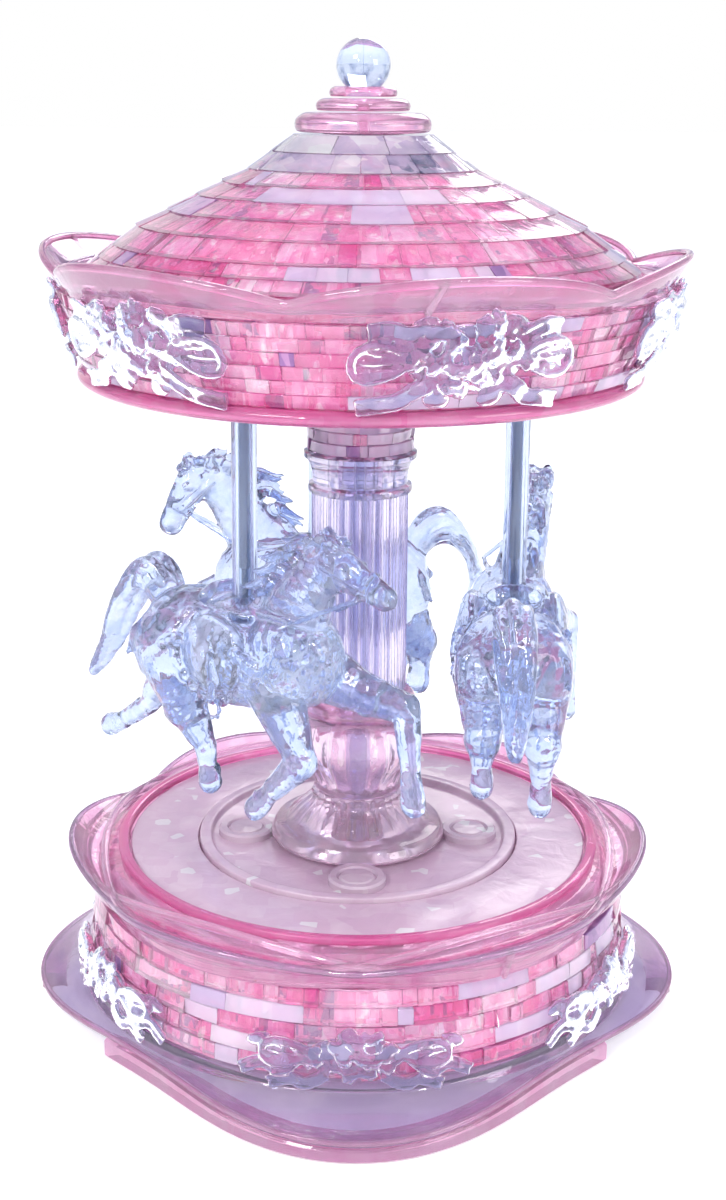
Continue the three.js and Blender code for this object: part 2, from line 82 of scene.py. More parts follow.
# shades run from dark to light; streak and tall draw the streaks and the small cells out upward; the edge
# colour is painted shade where a surface turns from view, and the glint and glow entries paint highlights and
# a glow
acrylic = {
    "pinkBrick": dict(
        shades=[0xf280c0, 0xf8a8d4, 0xfcc6e4, 0xfedcf0, 0xfff3fa], edge=0xfaa4d2, transmission=0.82,
        rough=0.03, bump=0.22, scale=260, streak=3.0, cell=330, tall=3.0, jumble=0.42, paintedGlintScale=900,
        rare=0.965),
    "paleBrick": dict(
        shades=[0xdccae8, 0xecdcf2, 0xf8ecf8], edge=0xe8ceea, transmission=0.6, rough=0.03, bump=0.15,
        scale=200, streak=2.0, cell=300, tall=3.0, jumble=0.3),
    "windowBrick": dict(
        shades=[0x785490, 0x9c6ca8, 0xce96c4], edge=0xcea0cc, transmission=0.3, rough=0.05, bump=0.2,
        scale=300, streak=2.0, cell=400, tall=2.0, jumble=0.6),
    "innerBrick": dict(
        shades=[0x705496, 0xe864ac, 0xf38ac4, 0xf9aed8, 0xfcc6e4, 0xfedef0, 0xfffcfe], edge=0xfccce6,
        transmission=0.0, rough=0.12, bump=0.3, scale=500, streak=4.0, cell=600, tall=4.0, jumble=0.35,
        paintedGlow=0.2, paintedGlintScale=1100, rare=0.93),
    "pinkSmooth": dict(
        shades=[0xf6a8d4, 0xfac6e4, 0xfee2f2], edge=0xf696cc, transmission=0.8, rough=0.03, bump=0.3,
        scale=160, streak=1.5, cell=260, tall=1.5, jumble=0.5),
    "palePink": dict(
        shades=[0xf8cee8, 0xfce0f2, 0xfff4fb], edge=0xf8bade, transmission=0.84, rough=0.03, bump=0.3,
        scale=170, streak=1.0, cell=260, tall=1.0, jumble=0.5),
    "platform": dict(
        shades=[0xe4c2da, 0xeed2e4, 0xfae8f2], edge=0xe2bad8, transmission=0.4, rough=0.2, bump=0.3,
        scale=190, streak=1.0, cell=190, tall=1.0, jumble=0.45, paintedGlintScale=420, rare=0.97, coat=0.15),
    "deepPink": dict(
        shades=[0xf268b0, 0xf88ec6, 0xfdbcde], edge=0xee50a2, transmission=0.65, rough=0.04, bump=0.15,
        scale=150, streak=1.0, cell=200, tall=1.0, jumble=0.3),
    "lavender": dict(
        shades=[0xdad0ec, 0xe8def4, 0xf8eef8], edge=0xa692c4, transmission=0.92, rough=0.03, bump=0.2,
        scale=120, streak=1.5, cell=160, tall=3.0, jumble=0.3),
    "tray": dict(
        shades=[0xbeacd0, 0xcebede, 0xe8daee], edge=0xaa8cbe, transmission=0.88, rough=0.03, bump=0.25,
        scale=90, streak=1.0, cell=90, tall=1.0, jumble=0.4),
    "crystal": dict(
        shades=[0xa4bae2, 0xc6d4f2, 0xeaf0fd], edge=0x425c88, transmission=0.93, rough=0.015, bump=0.16,
        scale=420, streak=1.0, cell=420, tall=1.0, jumble=0.4),
    "garland": dict(
        shades=[0xcad4f0, 0xdee4f6, 0xf2f0fc], edge=0x788aba, transmission=0.97, rough=0.1, bump=0.08,
        scale=500, streak=1.0, cell=500, tall=1.0, jumble=0.3, ior=1.3, coat=0.0),
    "clearBrick": dict(
        shades=[0x707494, 0xcebcdc, 0xe6d4ea, 0xf8ecf6, 0xffffff], edge=0x8282a8, transmission=0.6,
        rough=0.04, bump=0.3, scale=200, streak=1.0, cell=230, tall=1.0, jumble=0.6),
    # painted shade: the dark finish of the rod that stands for each pole's hollow bore
    "boreShade": dict(
        shades=[0x3c5474, 0x5c7698, 0x8ca2c6], edge=0xbecce8, transmission=0.5, rough=0.08, bump=0.05,
        scale=300, streak=12.0, cell=300, tall=12.0, jumble=0.2),
    "tube": dict(
        shades=[0xc4d4ee, 0xd6e2f6, 0xe8f0fc], edge=0x3e587c, transmission=0.94, rough=0.02, bump=0.08,
        scale=200, streak=8.0, cell=200, tall=8.0, jumble=0.1),
}


def newFinish(name):
    material = bpy.data.materials.new(name)
    material.use_nodes = True
    tree = material.node_tree
    return material, tree.nodes, tree.links, tree.nodes["Principled BSDF"]


def stretched(nodes, links, height):
    # the piece's own coordinates, drawn out upward
    place = nodes.new("ShaderNodeTexCoord")
    mapping = nodes.new("ShaderNodeMapping")
    mapping.inputs["Scale"].default_value = (1, 1, 1 / height)
    links.new(place.outputs["Object"], mapping.inputs["Vector"])
    return mapping.outputs["Vector"]


def cellTones(nodes, links, vector, scale, distance="EUCLIDEAN"):
    cells = nodes.new("ShaderNodeTexVoronoi")
    cells.inputs["Scale"].default_value = scale
    cells.distance = distance
    links.new(vector, cells.inputs["Vector"])
    split = nodes.new("ShaderNodeSeparateColor")
    links.new(cells.outputs["Color"], split.inputs["Color"])
    return split.outputs


def worked(nodes, links, operation, value, amount, added=None):
    step = nodes.new("ShaderNodeMath")
    step.operation = operation
    step.inputs[1].default_value = amount
    links.new(value, step.inputs[0])
    if added:
        links.new(added, step.inputs[2])
    return step.outputs["Value"]


def blended(nodes, links, factor, first, second):
    mix = nodes.new("ShaderNodeMix")
    mix.data_type = "RGBA"
    links.new(factor, mix.inputs["Factor"])
    links.new(first, mix.inputs[6])
    mix.inputs[7].default_value = second
    return mix.outputs[2]


def bumped(nodes, links, height, shader, strength, distance):
    bump = nodes.new("ShaderNodeBump")
    bump.inputs["Strength"].default_value = strength
    bump.inputs["Distance"].default_value = distance
    links.new(height, bump.inputs["Height"])
    links.new(bump.outputs["Normal"], shader.inputs["Normal"])


def makeAcrylic(name):
    look = acrylic[name]
    material, nodes, links, shader = newFinish(name)
    cloud = nodes.new("ShaderNodeTexNoise")
    cloud.inputs["Scale"].default_value = look["scale"]
    cloud.inputs["Detail"].default_value = 3
    cloud.inputs["Distortion"].default_value = 0.8
    links.new(stretched(nodes, links, look["streak"]), cloud.inputs["Vector"])
    upright = stretched(nodes, links, look["tall"])
    cells = cellTones(nodes, links, upright, look["cell"], "CHEBYCHEV")
    tone = nodes.new("ShaderNodeAttribute")
    tone.attribute_name = "tone"
    # the piece's own tone, moved by streaks and by the small cells seen inside it
    streaks = worked(nodes, links, "MULTIPLY_ADD", cloud.outputs["Fac"], 0.7, tone.outputs["Fac"])
    jumbled = worked(nodes, links, "MULTIPLY_ADD", cells["Red"], look["jumble"], streaks)
    ramp = nodes.new("ShaderNodeValToRGB")
    shades = [rgb(shade) for shade in look["shades"]]
    ramp.color_ramp.elements[0].color = shades[0]
    ramp.color_ramp.elements[1].color = shades[-1]
    for i in range(1, len(shades) - 1):
        ramp.color_ramp.elements.new(i / (len(shades) - 1)).color = shades[i]
    links.new(worked(nodes, links, "SUBTRACT", jumbled, 0.35 + look["jumble"] / 2), ramp.inputs["Fac"])
    body = ramp.outputs["Color"]
    if "paintedGlintScale" in look:
        # painted glints: a few small cells turned white, standing in for highlights where the layers behind
        # catch the light
        glintCells = cellTones(nodes, links, upright, look["paintedGlintScale"])
        paintedGlints = worked(nodes, links, "GREATER_THAN", glintCells["Blue"], look["rare"])
        body = blended(nodes, links, paintedGlints, body, (1, 1, 1, 1))
    # painted edge shade: the colour is pulled toward the edge colour where the surface turns away from view,
    # partly the real stronger tint of a longer path through the plastic, partly painted shade for the dark
    # outlines that refraction gives clear pieces
    facing = nodes.new("ShaderNodeLayerWeight")
    facing.inputs["Blend"].default_value = 0.32
    paintedEdgeMask = worked(nodes, links, "POWER", facing.outputs["Facing"], 2.0)
    links.new(blended(nodes, links, paintedEdgeMask, body, rgb(look["edge"])), shader.inputs["Base Color"])
    bumped(nodes, links, cloud.outputs["Fac"], shader, look["bump"], 0.0006)
    shader.inputs["Roughness"].default_value = look["rough"]
    shader.inputs["IOR"].default_value = look.get("ior", 1.47)
    shader.inputs["Transmission Weight"].default_value = look["transmission"]
    # painted glow: the inner bricks give off light in their own colours, though they are no lamp
    if "paintedGlow" in look:
        links.new(body, shader.inputs["Emission Color"])
        shader.inputs["Emission Strength"].default_value = look["paintedGlow"]
    shader.inputs["Coat Weight"].default_value = look.get("coat", 0.3)
    shader.inputs["Coat Roughness"].default_value = 0.02
    return material


cores = {
    "core": {"cell": 300, "shades": [0xf06eac, 0xf8a4ce, 0xfdd0e6, 0xfff8fc],
             "dark": 0x705496, "paintedGlow": 0.2},
    "paleCore": {"cell": 260, "shades": [0xeac6de, 0xf2d6e8, 0xf8e6f2, 0xfffcfe],
                 "dark": 0xce96c4, "paintedGlow": 0.08},
}


def makeCore(name):
    # the stacked layers behind the outer bricks, seen as streaks and patches of light and dark, with a painted
    # glow in their own colours
    core = cores[name]
    shades = [rgb(shade) for shade in core["shades"]]
    material, nodes, links, shader = newFinish(name)
    cells = cellTones(nodes, links, stretched(nodes, links, 1 / 0.45), core["cell"], "CHEBYCHEV")
    ramp = nodes.new("ShaderNodeValToRGB")
    ramp.color_ramp.elements[0].color = shades[0]
    ramp.color_ramp.elements[1].color = shades[-1]
    for place, shade in ((0.3, shades[1]), (0.62, shades[2]), (0.04, rgb(core["dark"])), (0.055, shades[0])):
        ramp.color_ramp.elements.new(place).color = shade
    links.new(cells["Red"], ramp.inputs["Fac"])
    links.new(ramp.outputs["Color"], shader.inputs["Base Color"])
    # painted glow: the layers give off light in their own colours, though they are no lamp
    links.new(ramp.outputs["Color"], shader.inputs["Emission Color"])
    shader.inputs["Emission Strength"].default_value = core["paintedGlow"]
    bumped(nodes, links, cells["Green"], shader, 0.9, 0.001)
    shader.inputs["Roughness"].default_value = 0.2
    shader.inputs["Coat Weight"].default_value = 0.6
    return material


def makeMetal(name, colour, rough):
    material, nodes, links, shader = newFinish(name)
    grain = nodes.new("ShaderNodeTexNoise")
    grain.inputs["Scale"].default_value = 900
    links.new(stretched(nodes, links, 1), grain.inputs["Vector"])
    spread = nodes.new("ShaderNodeMapRange")
    spread.inputs["To Min"].default_value = rough * 0.7
    spread.inputs["To Max"].default_value = rough * 1.5
    links.new(grain.outputs["Fac"], spread.inputs["Value"])
    links.new(spread.outputs["Result"], shader.inputs["Roughness"])
    shader.inputs["Base Color"].default_value = colour
    shader.inputs["Metallic"].default_value = 1.0
    return material


finish = {name: makeAcrylic(name) for name in acrylic}
finish.update({name: makeCore(name) for name in cores})
finish["brass"] = makeMetal("brassSatin", rgb(0xcea860), 0.3)
finish["steel"] = makeMetal("steelSatin", rgb(0xbec2c8), 0.28)
print("finishes ready")


# mesh building, in millimetres
def addObject(name, data):
    thing = bpy.data.objects.new(name, data)
    bpy.context.scene.collection.objects.link(thing)
    return thing


def standIn(piece, *nodes):
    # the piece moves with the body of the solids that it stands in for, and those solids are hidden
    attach(piece, bodyOf(nodes[0]))
    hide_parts(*nodes)
    return piece


def makePiece(name, points, faces, material, nodes, tones=None, sharp=35):
    mesh = bpy.data.meshes.new(name)
    mesh.from_pydata([(x * mm, y * mm, z * mm) for x, y, z in points], [], faces)
    mesh.validate()
    mesh.update()
    tone = mesh.attributes.new("tone", "FLOAT", "FACE")
    tone.data.foreach_set("value", tones or [0.5] * len(mesh.polygons))
    mesh.shade_smooth()
    mesh.set_sharp_from_angle(angle=radians(sharp))
    mesh.materials.append(finish[material])
    return standIn(addObject(name, mesh), *nodes)


def softened(outline, radius, steps=3):
    # rounds every corner of a closed [radius, height] outline
    result = []
    count = len(outline)
    for i in range(count):
        before, corner, after = (Vector(outline[(i + k) % count]) for k in (-1, 0, 1))
        toBefore, toAfter = before - corner, after - corner
        reach = min(radius, toBefore.length * 0.45, toAfter.length * 0.45)
        start = corner + toBefore.normalized() * reach
        end = corner + toAfter.normalized() * reach
        for k in range(steps + 1):
            t = k / steps
            result.append(tuple((1 - t) ** 2 * start + 2 * t * (1 - t) * corner + t * t * end))
    return result


def onTurn(phi, r, z):
    # a point r out from the axis and phi round from the front
    return r * sin(phi), -r * cos(phi), z


def turnedMesh(outline, facets=96, rule=None):
    # a closed outline swept all the way round the axis
    points, faces = [], []
    count = len(outline)
    for i in range(facets):
        phi = tau * i / facets
        for r, z in outline:
            reach, height = rule(phi, r, z) if rule else (r, z)
            points.append(onTurn(phi, reach, height))
    for i in range(facets):
        here, there = i * count, ((i + 1) % facets) * count
        for k in range(count):
            n = (k + 1) % count
            faces.append((here + k, there + k, there + n, here + n))
    return points, outward(points, faces)


def outward(points, faces):
    volume = 0.0
    for face in faces:
        a = Vector(points[face[0]])
        for k in range(1, len(face) - 1):
            volume += a.dot(Vector(points[face[k]]).cross(Vector(points[face[k + 1]])))
    return faces if volume > 0 else [tuple(reversed(face)) for face in faces]


def turnedPiece(name, outline, material, nodes, facets=96, rule=None, corner=0.3):
    points, faces = turnedMesh(softened(outline, corner), facets, rule)
    return makePiece(name, points, faces, material, nodes)


brickStyle = {"chamfer": 0.16, "joint": 0.05, "slices": 3}


def addBrick(points, faces, tones, phiStart, phiEnd, section, tone, tilt=0.0):
    # section is a closed outline of [radius, height]; the ends are drawn in to a chamfer
    style = brickStyle
    middleR = sum(r for r, z in section) / len(section)
    middleZ = sum(z for r, z in section) / len(section)
    jointTurn = style["joint"] / 2 / middleR
    chamferTurn = style["chamfer"] / middleR
    first, last = phiStart + jointTurn, phiEnd - jointTurn
    stations = [(first, 0.95), (first + chamferTurn, 1.0)]
    for k in range(1, style["slices"]):
        stations.append((first + (last - first) * k / style["slices"], 1.0))
    stations += [(last - chamferTurn, 1.0), (last, 0.95)]
    base = len(points)
    count = len(section)
    for phi, size in stations:
        for r, z in section:
            rr = middleR + (r - middleR) * size + tilt * ((phi - first) / (last - first) - 0.5) * (r > middleR)
            zz = middleZ + (z - middleZ) * size
            points.append(onTurn(phi, rr, zz))
    built = []
    for s in range(len(stations) - 1):
        for k in range(count):
            n = (k + 1) % count
            a, b = base + s * count, base + (s + 1) * count
            built.append((a + k, b + k, b + n, a + n))
    built.append(tuple(base + k for k in range(count)))
    built.append(tuple(base + (len(stations) - 1) * count + k for k in reversed(range(count))))
    faces.extend(built)
    tones.extend([tone] * len(built))


def brickSection(low, high, outerLow, outerHigh, depth, chamfer=0.16):
    innerLow, innerHigh = outerLow - depth, outerHigh - depth
    return [(innerLow, low), (outerLow - chamfer, low), (outerLow, low + chamfer),
            (outerHigh, high - chamfer),
            (outerHigh - chamfer, high), (innerHigh, high)]


def brickRing(name, rows, nodes, seed, main="pinkBrick", other="paleBrick"):
    # rows: low, high, outerLow, outerHigh, depth, count, and the share of bricks in the other finish
    rng = random.Random(seed)
    points, faces, tones, picks = [], [], [], []
    for row in rows:
        cuts = [0.0]
        while cuts[-1] < 1:
            cuts.append(cuts[-1] + rng.choice((0.3, 0.5, 0.8, 1.0, 1.6)) / row["count"])
        cuts = cuts[:-1]
        start = rng.random()
        for i, begin in enumerate(cuts):
            end = cuts[i + 1] if i + 1 < len(cuts) else 1.0
            step, lean = rng.uniform(-0.2, 0.25), rng.uniform(-0.22, 0.22)
            section = brickSection(row["low"], row["high"] - 0.04, row["outerLow"] + step - lean,
                                   row["outerHigh"] + step + lean, row["depth"])
            tone = min(0.9, max(0.15, rng.gauss(0.5, 0.13)))
            if rng.random() < 0.1:
                tone = rng.choice((0.0, 1.0))
            addBrick(points, faces, tones, tau * (start + begin), tau * (start + end), section, tone,
                     rng.uniform(-0.35, 0.35))
            pick = 1 if rng.random() < row.get("share", 0.08) else 2 if rng.random() < 0.03 else 0
            picks += [pick] * (len(faces) - len(picks))
    piece = makePiece(name, points, faces, main, nodes, tones, sharp=25)
    piece.data.materials.append(finish[other])
    piece.data.materials.append(finish["windowBrick"])
    piece.data.polygons.foreach_set("material_index", picks)
    return piece


def uprightRing(name, rows, nodes, seed, inset):
    # narrow uprights standing behind the outer bricks, each at its own depth
    rng = random.Random(seed)
    points, faces, tones = [], [], []
    for row in rows:
        radius = (row["outerLow"] + row["outerHigh"]) / 2
        lean = (row["outerHigh"] - row["outerLow"]) / 2
        turn, stop = 0.0, tau - 0.5 / radius
        while turn < stop:
            wide = rng.choice((0.6, 0.8, 1.1, 1.6, 2.6, 3.6)) / radius
            deep = inset + rng.uniform(0, 1.3)
            high = row["high"] - rng.choice((0, 0, 0.35, 0.9)) * (row["high"] - row["low"]) * 0.5
            section = brickSection(row["low"], high, radius - lean - deep, radius + lean - deep, 1.4, 0.1)
            tone = rng.choice((0.0, 0.25, 0.4, 0.5, 0.5, 0.6, 0.75, 0.95, 1.1))
            addBrick(points, faces, tones, turn, min(turn + wide, tau), section, tone, rng.uniform(-0.3, 0.3))
            turn += wide
    return makePiece(name, points, faces, "innerBrick", nodes, tones, sharp=25)


# base: tray, strips, drum, flange
skirt = {"radius": 59.1, "wave": 4.5, "edge": 2.9, "edgeWave": 1.4, "inner": 52.5}


def skirtRule(phi, r, z):
    reach = min(1.0, max(0.0, (r - skirt["inner"]) / (skirt["radius"] - skirt["inner"])))
    wave = skirt["wave"] * cos(4 * phi) * reach ** 1.4
    return r + wave, z + skirt["edgeWave"] * (1 - cos(4 * phi)) / 2 * reach


def curve(points, steps=4):
    # a smooth line through the points
    result = []
    for i in range(len(points) - 1):
        p = [Vector(points[min(max(i + k, 0), len(points) - 1)]) for k in (-1, 0, 1, 2)]
        for s in range(steps):
            t = s / steps
            bow = 2 * p[0] - 5 * p[1] + 4 * p[2] - p[3]
            twist = 3 * p[1] - p[0] - 3 * p[2] + p[3]
            result.append(tuple(0.5 * ((2 * p[1]) + (p[2] - p[0]) * t + bow * t ** 2 + twist * t ** 3)))
    result.append(tuple(points[-1]))
    return result


trayTop = curve([(20, 8.6), (48, 8.6), (53.6, 9.2), (54.6, 8.2), (56.2, 6.4), (57.9, 5.1), (59.1, 4.6)], 5)
trayUnder = curve([(59.3, 3.3), (57.8, 3.5), (55.6, 4.9), (53, 6.4), (48, 6.8), (20, 6.8)], 5)
points, faces = turnedMesh(trayTop + trayUnder, 144, skirtRule)
makePiece("skirt_tray_flare", points, faces, "tray", ["skirt_tray"])

strips = {"foot_strip_front": (-57, 57), "foot_strip_right": (85, 165), "foot_strip_left": (-165, -85)}


def stripMesh(fromTurn, toTurn):
    points, faces = [], []
    steps = 48
    for i in range(steps + 1):
        phi = radians(fromTurn + (toTurn - fromTurn) * i / steps)
        edge = skirt["radius"] + skirt["wave"] * cos(4 * phi)
        top = skirt["edge"] + skirt["edgeWave"] * (1 - cos(4 * phi)) / 2 - 0.25
        for r, z in ((edge - 5.5, 0.0), (edge - 0.5, 0.0), (edge, 0.4), (edge, top - 0.4), (edge - 0.4, top),
                     (edge - 5.5, top - 0.2)):
            points.append(onTurn(phi, r, z))
    for i in range(steps):
        for k in range(6):
            n = (k + 1) % 6
            faces.append((i * 6 + k, (i + 1) * 6 + k, (i + 1) * 6 + n, i * 6 + n))
    faces.append(tuple(range(5, -1, -1)))
    faces.append(tuple(steps * 6 + k for k in range(6)))
    return points, outward(points, faces)


for name, (fromTurn, toTurn) in strips.items():
    points, faces = stripMesh(fromTurn, toTurn)
    makePiece(name + "_moulding", points, faces, "pinkSmooth", [name])

drumNodes = sorted(node for node in frame["nodes"] if node.startswith("drum_course"))
for i, node in enumerate(drumNodes):
    low, high = lowOf(node), highOf(node)
    outer = reachOf(node)
    rows = [dict(low=low, high=high + 0.2, outerLow=outer, outerHigh=outer - 0.35, depth=1.7, count=36,
                 share=(0.1, 0.35, 0.1, 0.2, 0.05)[i])]
    brickRing(node + "_bricks", rows, [node], 40 + i)
    uprightRing(node + "_uprights", rows, [node], 50 + i, 1.9)
drumLow, drumHigh = lowOf(drumNodes[0]), highOf(drumNodes[-1])
turnedPiece("drum_core", [(43, drumLow), (48.8, drumLow), (48.2, drumHigh), (43, drumHigh)], "core",
            drumNodes, rule=lambda phi, r, z: (r + 0.25 * sin(31 * phi + z), z))

flange = {"radius": 54.7, "wave": 2.3, "lift": 1.9}


def flangeRule(phi, r, z):
    wave = 2 * (cos(3 * (phi - pi / 6)) ** 2 + 0.006) ** 0.5 - 1
    reach = min(1.0, max(0.0, (r - 49) / (flange["radius"] - 49)))
    lift = flange["lift"] * wave * reach * (1 if z > 28.5 else 0.2)
    return r + flange["wave"] * wave * reach, z + lift


flangeOutline = curve([(46.4, 31.6), (48.6, 31.2), (50.4, 30.3), (52.2, 30.4), (53.8, 31.3), (54.7, 31.4)], 4)
flangeOutline += curve([(54.9, 30.6), (54, 29.4), (53.2, 27.8), (52.4, 26.3), (50, 26.2), (46.4, 26.2)], 4)
points, faces = turnedMesh(flangeOutline, 180, flangeRule)
makePiece("base_flange_petals", points, faces, "pinkSmooth", ["base_flange"])
print("base ready")

# platform
platform = {"inner": 31.7, "outer": 44.9, "low": 29.3, "high": 32.3, "ripple": 0.12, "step": 31.4, "hub": 8.6}


def rippled(phi, r, z):
    if z <= 31 or r >= 44:
        return r, z
    spot = Vector((r * 0.35 * sin(phi), r * 0.35 * cos(phi), 3))
    return r, z + platform["ripple"] * noise.noise(spot)


inner, outer, low, high = (platform[key] for key in ("inner", "outer", "low", "high"))
turnedPiece("platform_disc_plate", [(inner, low), (outer, low), (outer, high), (inner, high)], "platform",
            ["platform_disc"], 128, rippled)
turnedPiece("lip_ring_bead", [(45.2, 31.9), (47.4, 31.9), (47.4, 33.2), (46.9, 33.4), (45.5, 33.4)],
            "deepPink", ["lip_ring"], 128, corner=0.5)
turnedPiece("support_plate_disc", [(9, 26.2), (46, 26.2), (46, 29), (9, 29)], "paleCore", ["support_plate"],
            96)
hub, step = platform["hub"], platform["step"]
stepOutline = [(hub, low), (step, low), (step, 33.1), (step - 2.2, 33.1), (step - 2.6, 31.9), (hub, 31.9)]
turnedPiece("inner_disc_step", stepOutline, "platform", ["inner_disc"], 128, corner=0.35)

# pegs on the inner disc; each outline runs from the foot in to the middle of the top
pegs = {"count": 4, "distance": 22.2, "facets": 28, "rough": 0.12,
        "outline": [(5.5, 31.9), (5.5, 33.0), (5.1, 33.4), (3.9, 33.35), (3.5, 32.9), (3.1, 33.3), (1.5, 33.4),
                    (0.4, 33.4)]}


def pegMesh(phi):
    points, faces = [], []
    facets, rings = pegs["facets"], pegs["outline"]
    centre = Vector((sin(phi), -cos(phi), 0)) * pegs["distance"]
    for r, z in rings:
        for k in range(facets):
            a = tau * k / facets
            spot = Vector((r * cos(a), r * sin(a), 2 + phi)) * 0.9
            rough = pegs["rough"] * noise.noise(spot) if r < 5 else 0
            points.append((centre.x + r * cos(a), centre.y + r * sin(a), z + rough))
    for s in range(len(rings) - 1):
        for k in range(facets):
            n = (k + 1) % facets
            faces.append((s * facets + k, s * facets + n, (s + 1) * facets + n, (s + 1) * facets + k))
    faces.append(tuple(reversed(range(facets))))
    faces.append(tuple((len(rings) - 1) * facets + k for k in range(facets)))
    return points, faces


for i in range(pegs["count"]):
    points, faces = pegMesh(i * tau / pegs["count"])
    makePiece(f"inner_disc_peg_{i + 1}", points, faces, "platform", ["inner_disc"])

# column
column = {"bore": 4.2, "radius": 9.2, "low": 62.8, "high": 102.4, "flutes": 20, "flute": 0.75,
          "bellRibs": 24, "bellRib": 0.22, "neckRibs": 10, "neckRib": 0.35}
bore = column["bore"]


def bellRule(phi, r, z):
    return r + (column["bellRib"] * cos(column["bellRibs"] * phi) if 36 < z < 42 and r > 8 else 0), z


def neckRule(phi, r, z):
    return r + (column["neckRib"] * abs(cos(column["neckRibs"] * phi)) if 44 < z < 57 and r > 8 else 0), z


def fluted(phi, r, z):
    if r < 6:
        return r, z
    across = (phi * column["flutes"] / tau) % 1.0
    return r - column["flute"] * sin(pi * across) ** 0.6, z


bell = curve([(bore, 42.2), (8.4, 42.2), (9.2, 40.4), (11.6, 38.2), (13.0, 36.6), (14.4, 35.6)], 4)
bell += curve([(16.2, 35.2), (16.8, 34.2), (16.6, 32.5), (8.2, 32.5)], 4) + [(8.2, 29.4), (bore, 29.4)]
points, faces = turnedMesh(bell, 96, bellRule)
makePiece("pedestal_bell_turned", points, faces, "palePink", ["pedestal_bell"])
neck = curve([(bore, 42.5), (8.3, 42.5), (8.6, 44.6), (10, 47.4), (11.9, 50.2), (12.3, 53), (11.6, 56),
              (10, 58),
              (bore, 58)], 4)
points, faces = turnedMesh(neck, 120, neckRule)
makePiece("pedestal_neck_ribbed", points, faces, "palePink", ["pedestal_neck"])
turnedPiece("column_foot_torus", [(bore, 58.3), (10, 58.3), (11.2, 59.2), (11.2, 61.4), (10, 62.5),
                                  (bore, 62.5)],
            "pinkSmooth", ["column_foot"], corner=0.9)
low, high = column["low"], column["high"]
shaft = [(bore, low)] + [(column["radius"], low + (high - low) * k / 8) for k in range(9)] + [(bore, high)]
points, faces = turnedMesh(shaft, 240, fluted)
makePiece("column_shaft_fluted", points, faces, "lavender", ["column_shaft"], sharp=20)
capital = [(bore, 102.7), (9.9, 102.7), (10, 103.4), (9.8, 104), (9.1, 104.4)]
capital += curve([(9.1, 104.6), (9.2, 106), (9.6, 107.6), (10.3, 108.8)], 3)
capital += [(10.8, 109.3), (10.8, 110.2), (10.4, 110.4), (bore, 110.4)]
points, faces = turnedMesh(capital, 96)
makePiece("capital_turned", points, faces, "lavender", ["capital"])
turnedPiece("spindle_tube", [(0.8, 25), (3.4, 25), (3.4, 147.8), (0.8, 147.8)], "tube", ["spindle"], 40)
collar = {"low": 110.8, "row": 2.2, "rows": 6, "radius": 10}
collarRows = [dict(low=collar["low"] + collar["row"] * k, high=collar["low"] + collar["row"] * (k + 1),
                   outerLow=collar["radius"], outerHigh=collar["radius"], depth=3, count=12)
              for k in range(collar["rows"])]
brickRing("collar_bricks", collarRows, ["collar"], 71, "paleBrick", "pinkBrick")
uprightRing("collar_uprights", collarRows, ["collar"], 72, 3.2)
print("column ready")

# canopy
canopy = {"wallLow": 51.6, "flare": 4.0, "depth": 1.7, "bricks": 40, "lowBricks": 18}
floor = [(4, 124.5), (51.6, 124.5), (52.7, 125.4), (52.7, 126.4), (51.6, 127.2), (4, 127.2)]
turnedPiece("canopy_floor_plate", floor, "deepPink", ["canopy_floor"], 128, corner=1.0)
wallLow, wallHigh = lowOf("canopy_course_1"), highOf("canopy_course_3")


def wallRadius(z):
    return canopy["wallLow"] + (z - wallLow) * canopy["flare"] / (wallHigh - wallLow)


for i in range(3):
    node = f"canopy_course_{i + 1}"
    low, high = lowOf(node), highOf(node) + 0.3
    middle = (low + high) / 2
    rows = [dict(low=low, high=middle, outerLow=wallRadius(low), outerHigh=wallRadius(middle),
                 depth=canopy["depth"],
                 count=canopy["lowBricks"] if i == 0 else canopy["bricks"], share=0.6 if i == 0 else 0.06),
            dict(low=middle, high=high, outerLow=wallRadius(middle), outerHigh=wallRadius(high),
                 depth=canopy["depth"], count=canopy["bricks"])]
    brickRing(node + "_bricks", rows, [node], 10 + i)
    uprightRing(node + "_uprights", rows, [node], 60 + i, 1.9)
turnedPiece("canopy_core", [(42, wallLow), (47.2, wallLow), (51, wallHigh), (42, wallHigh)], "core",
            ["canopy_course_1", "canopy_course_2", "canopy_course_3"],
            rule=lambda phi, r, z: (r + 0.25 * sin(37 * phi + z), z))

petal = {"radius": 57.7, "wave": 2.2, "lift": 2.4, "turn": radians(17.7)}


def petalRule(phi, r, z):
    wave = 2 * (cos(3 * (phi - petal["turn"])) ** 2 + 0.002) ** 0.36 - 1
    reach = min(1.0, max(0.0, (r - 51.5) / (petal["radius"] - 51.5)))
    lift = petal["lift"] * (wave + 0.2) * reach ** 1.5
    return r + petal["wave"] * wave * reach, z + lift * (1 if z > 142 else 0.15)


petalOutline = curve([(44, 144.9), (49.5, 144.6), (52, 143.9), (54.6, 144.3), (56.8, 145.6), (57.9, 146.4)],
                     5)
petalOutline += curve([(58, 145.5), (57, 143.9), (55.9, 142.4), (55, 141.7), (50, 141.7), (44, 141.7)], 5)
points, faces = turnedMesh(petalOutline, 180, petalRule)
makePiece("petal_rim_scallops", points, faces, "pinkSmooth", ["petal_rim"])


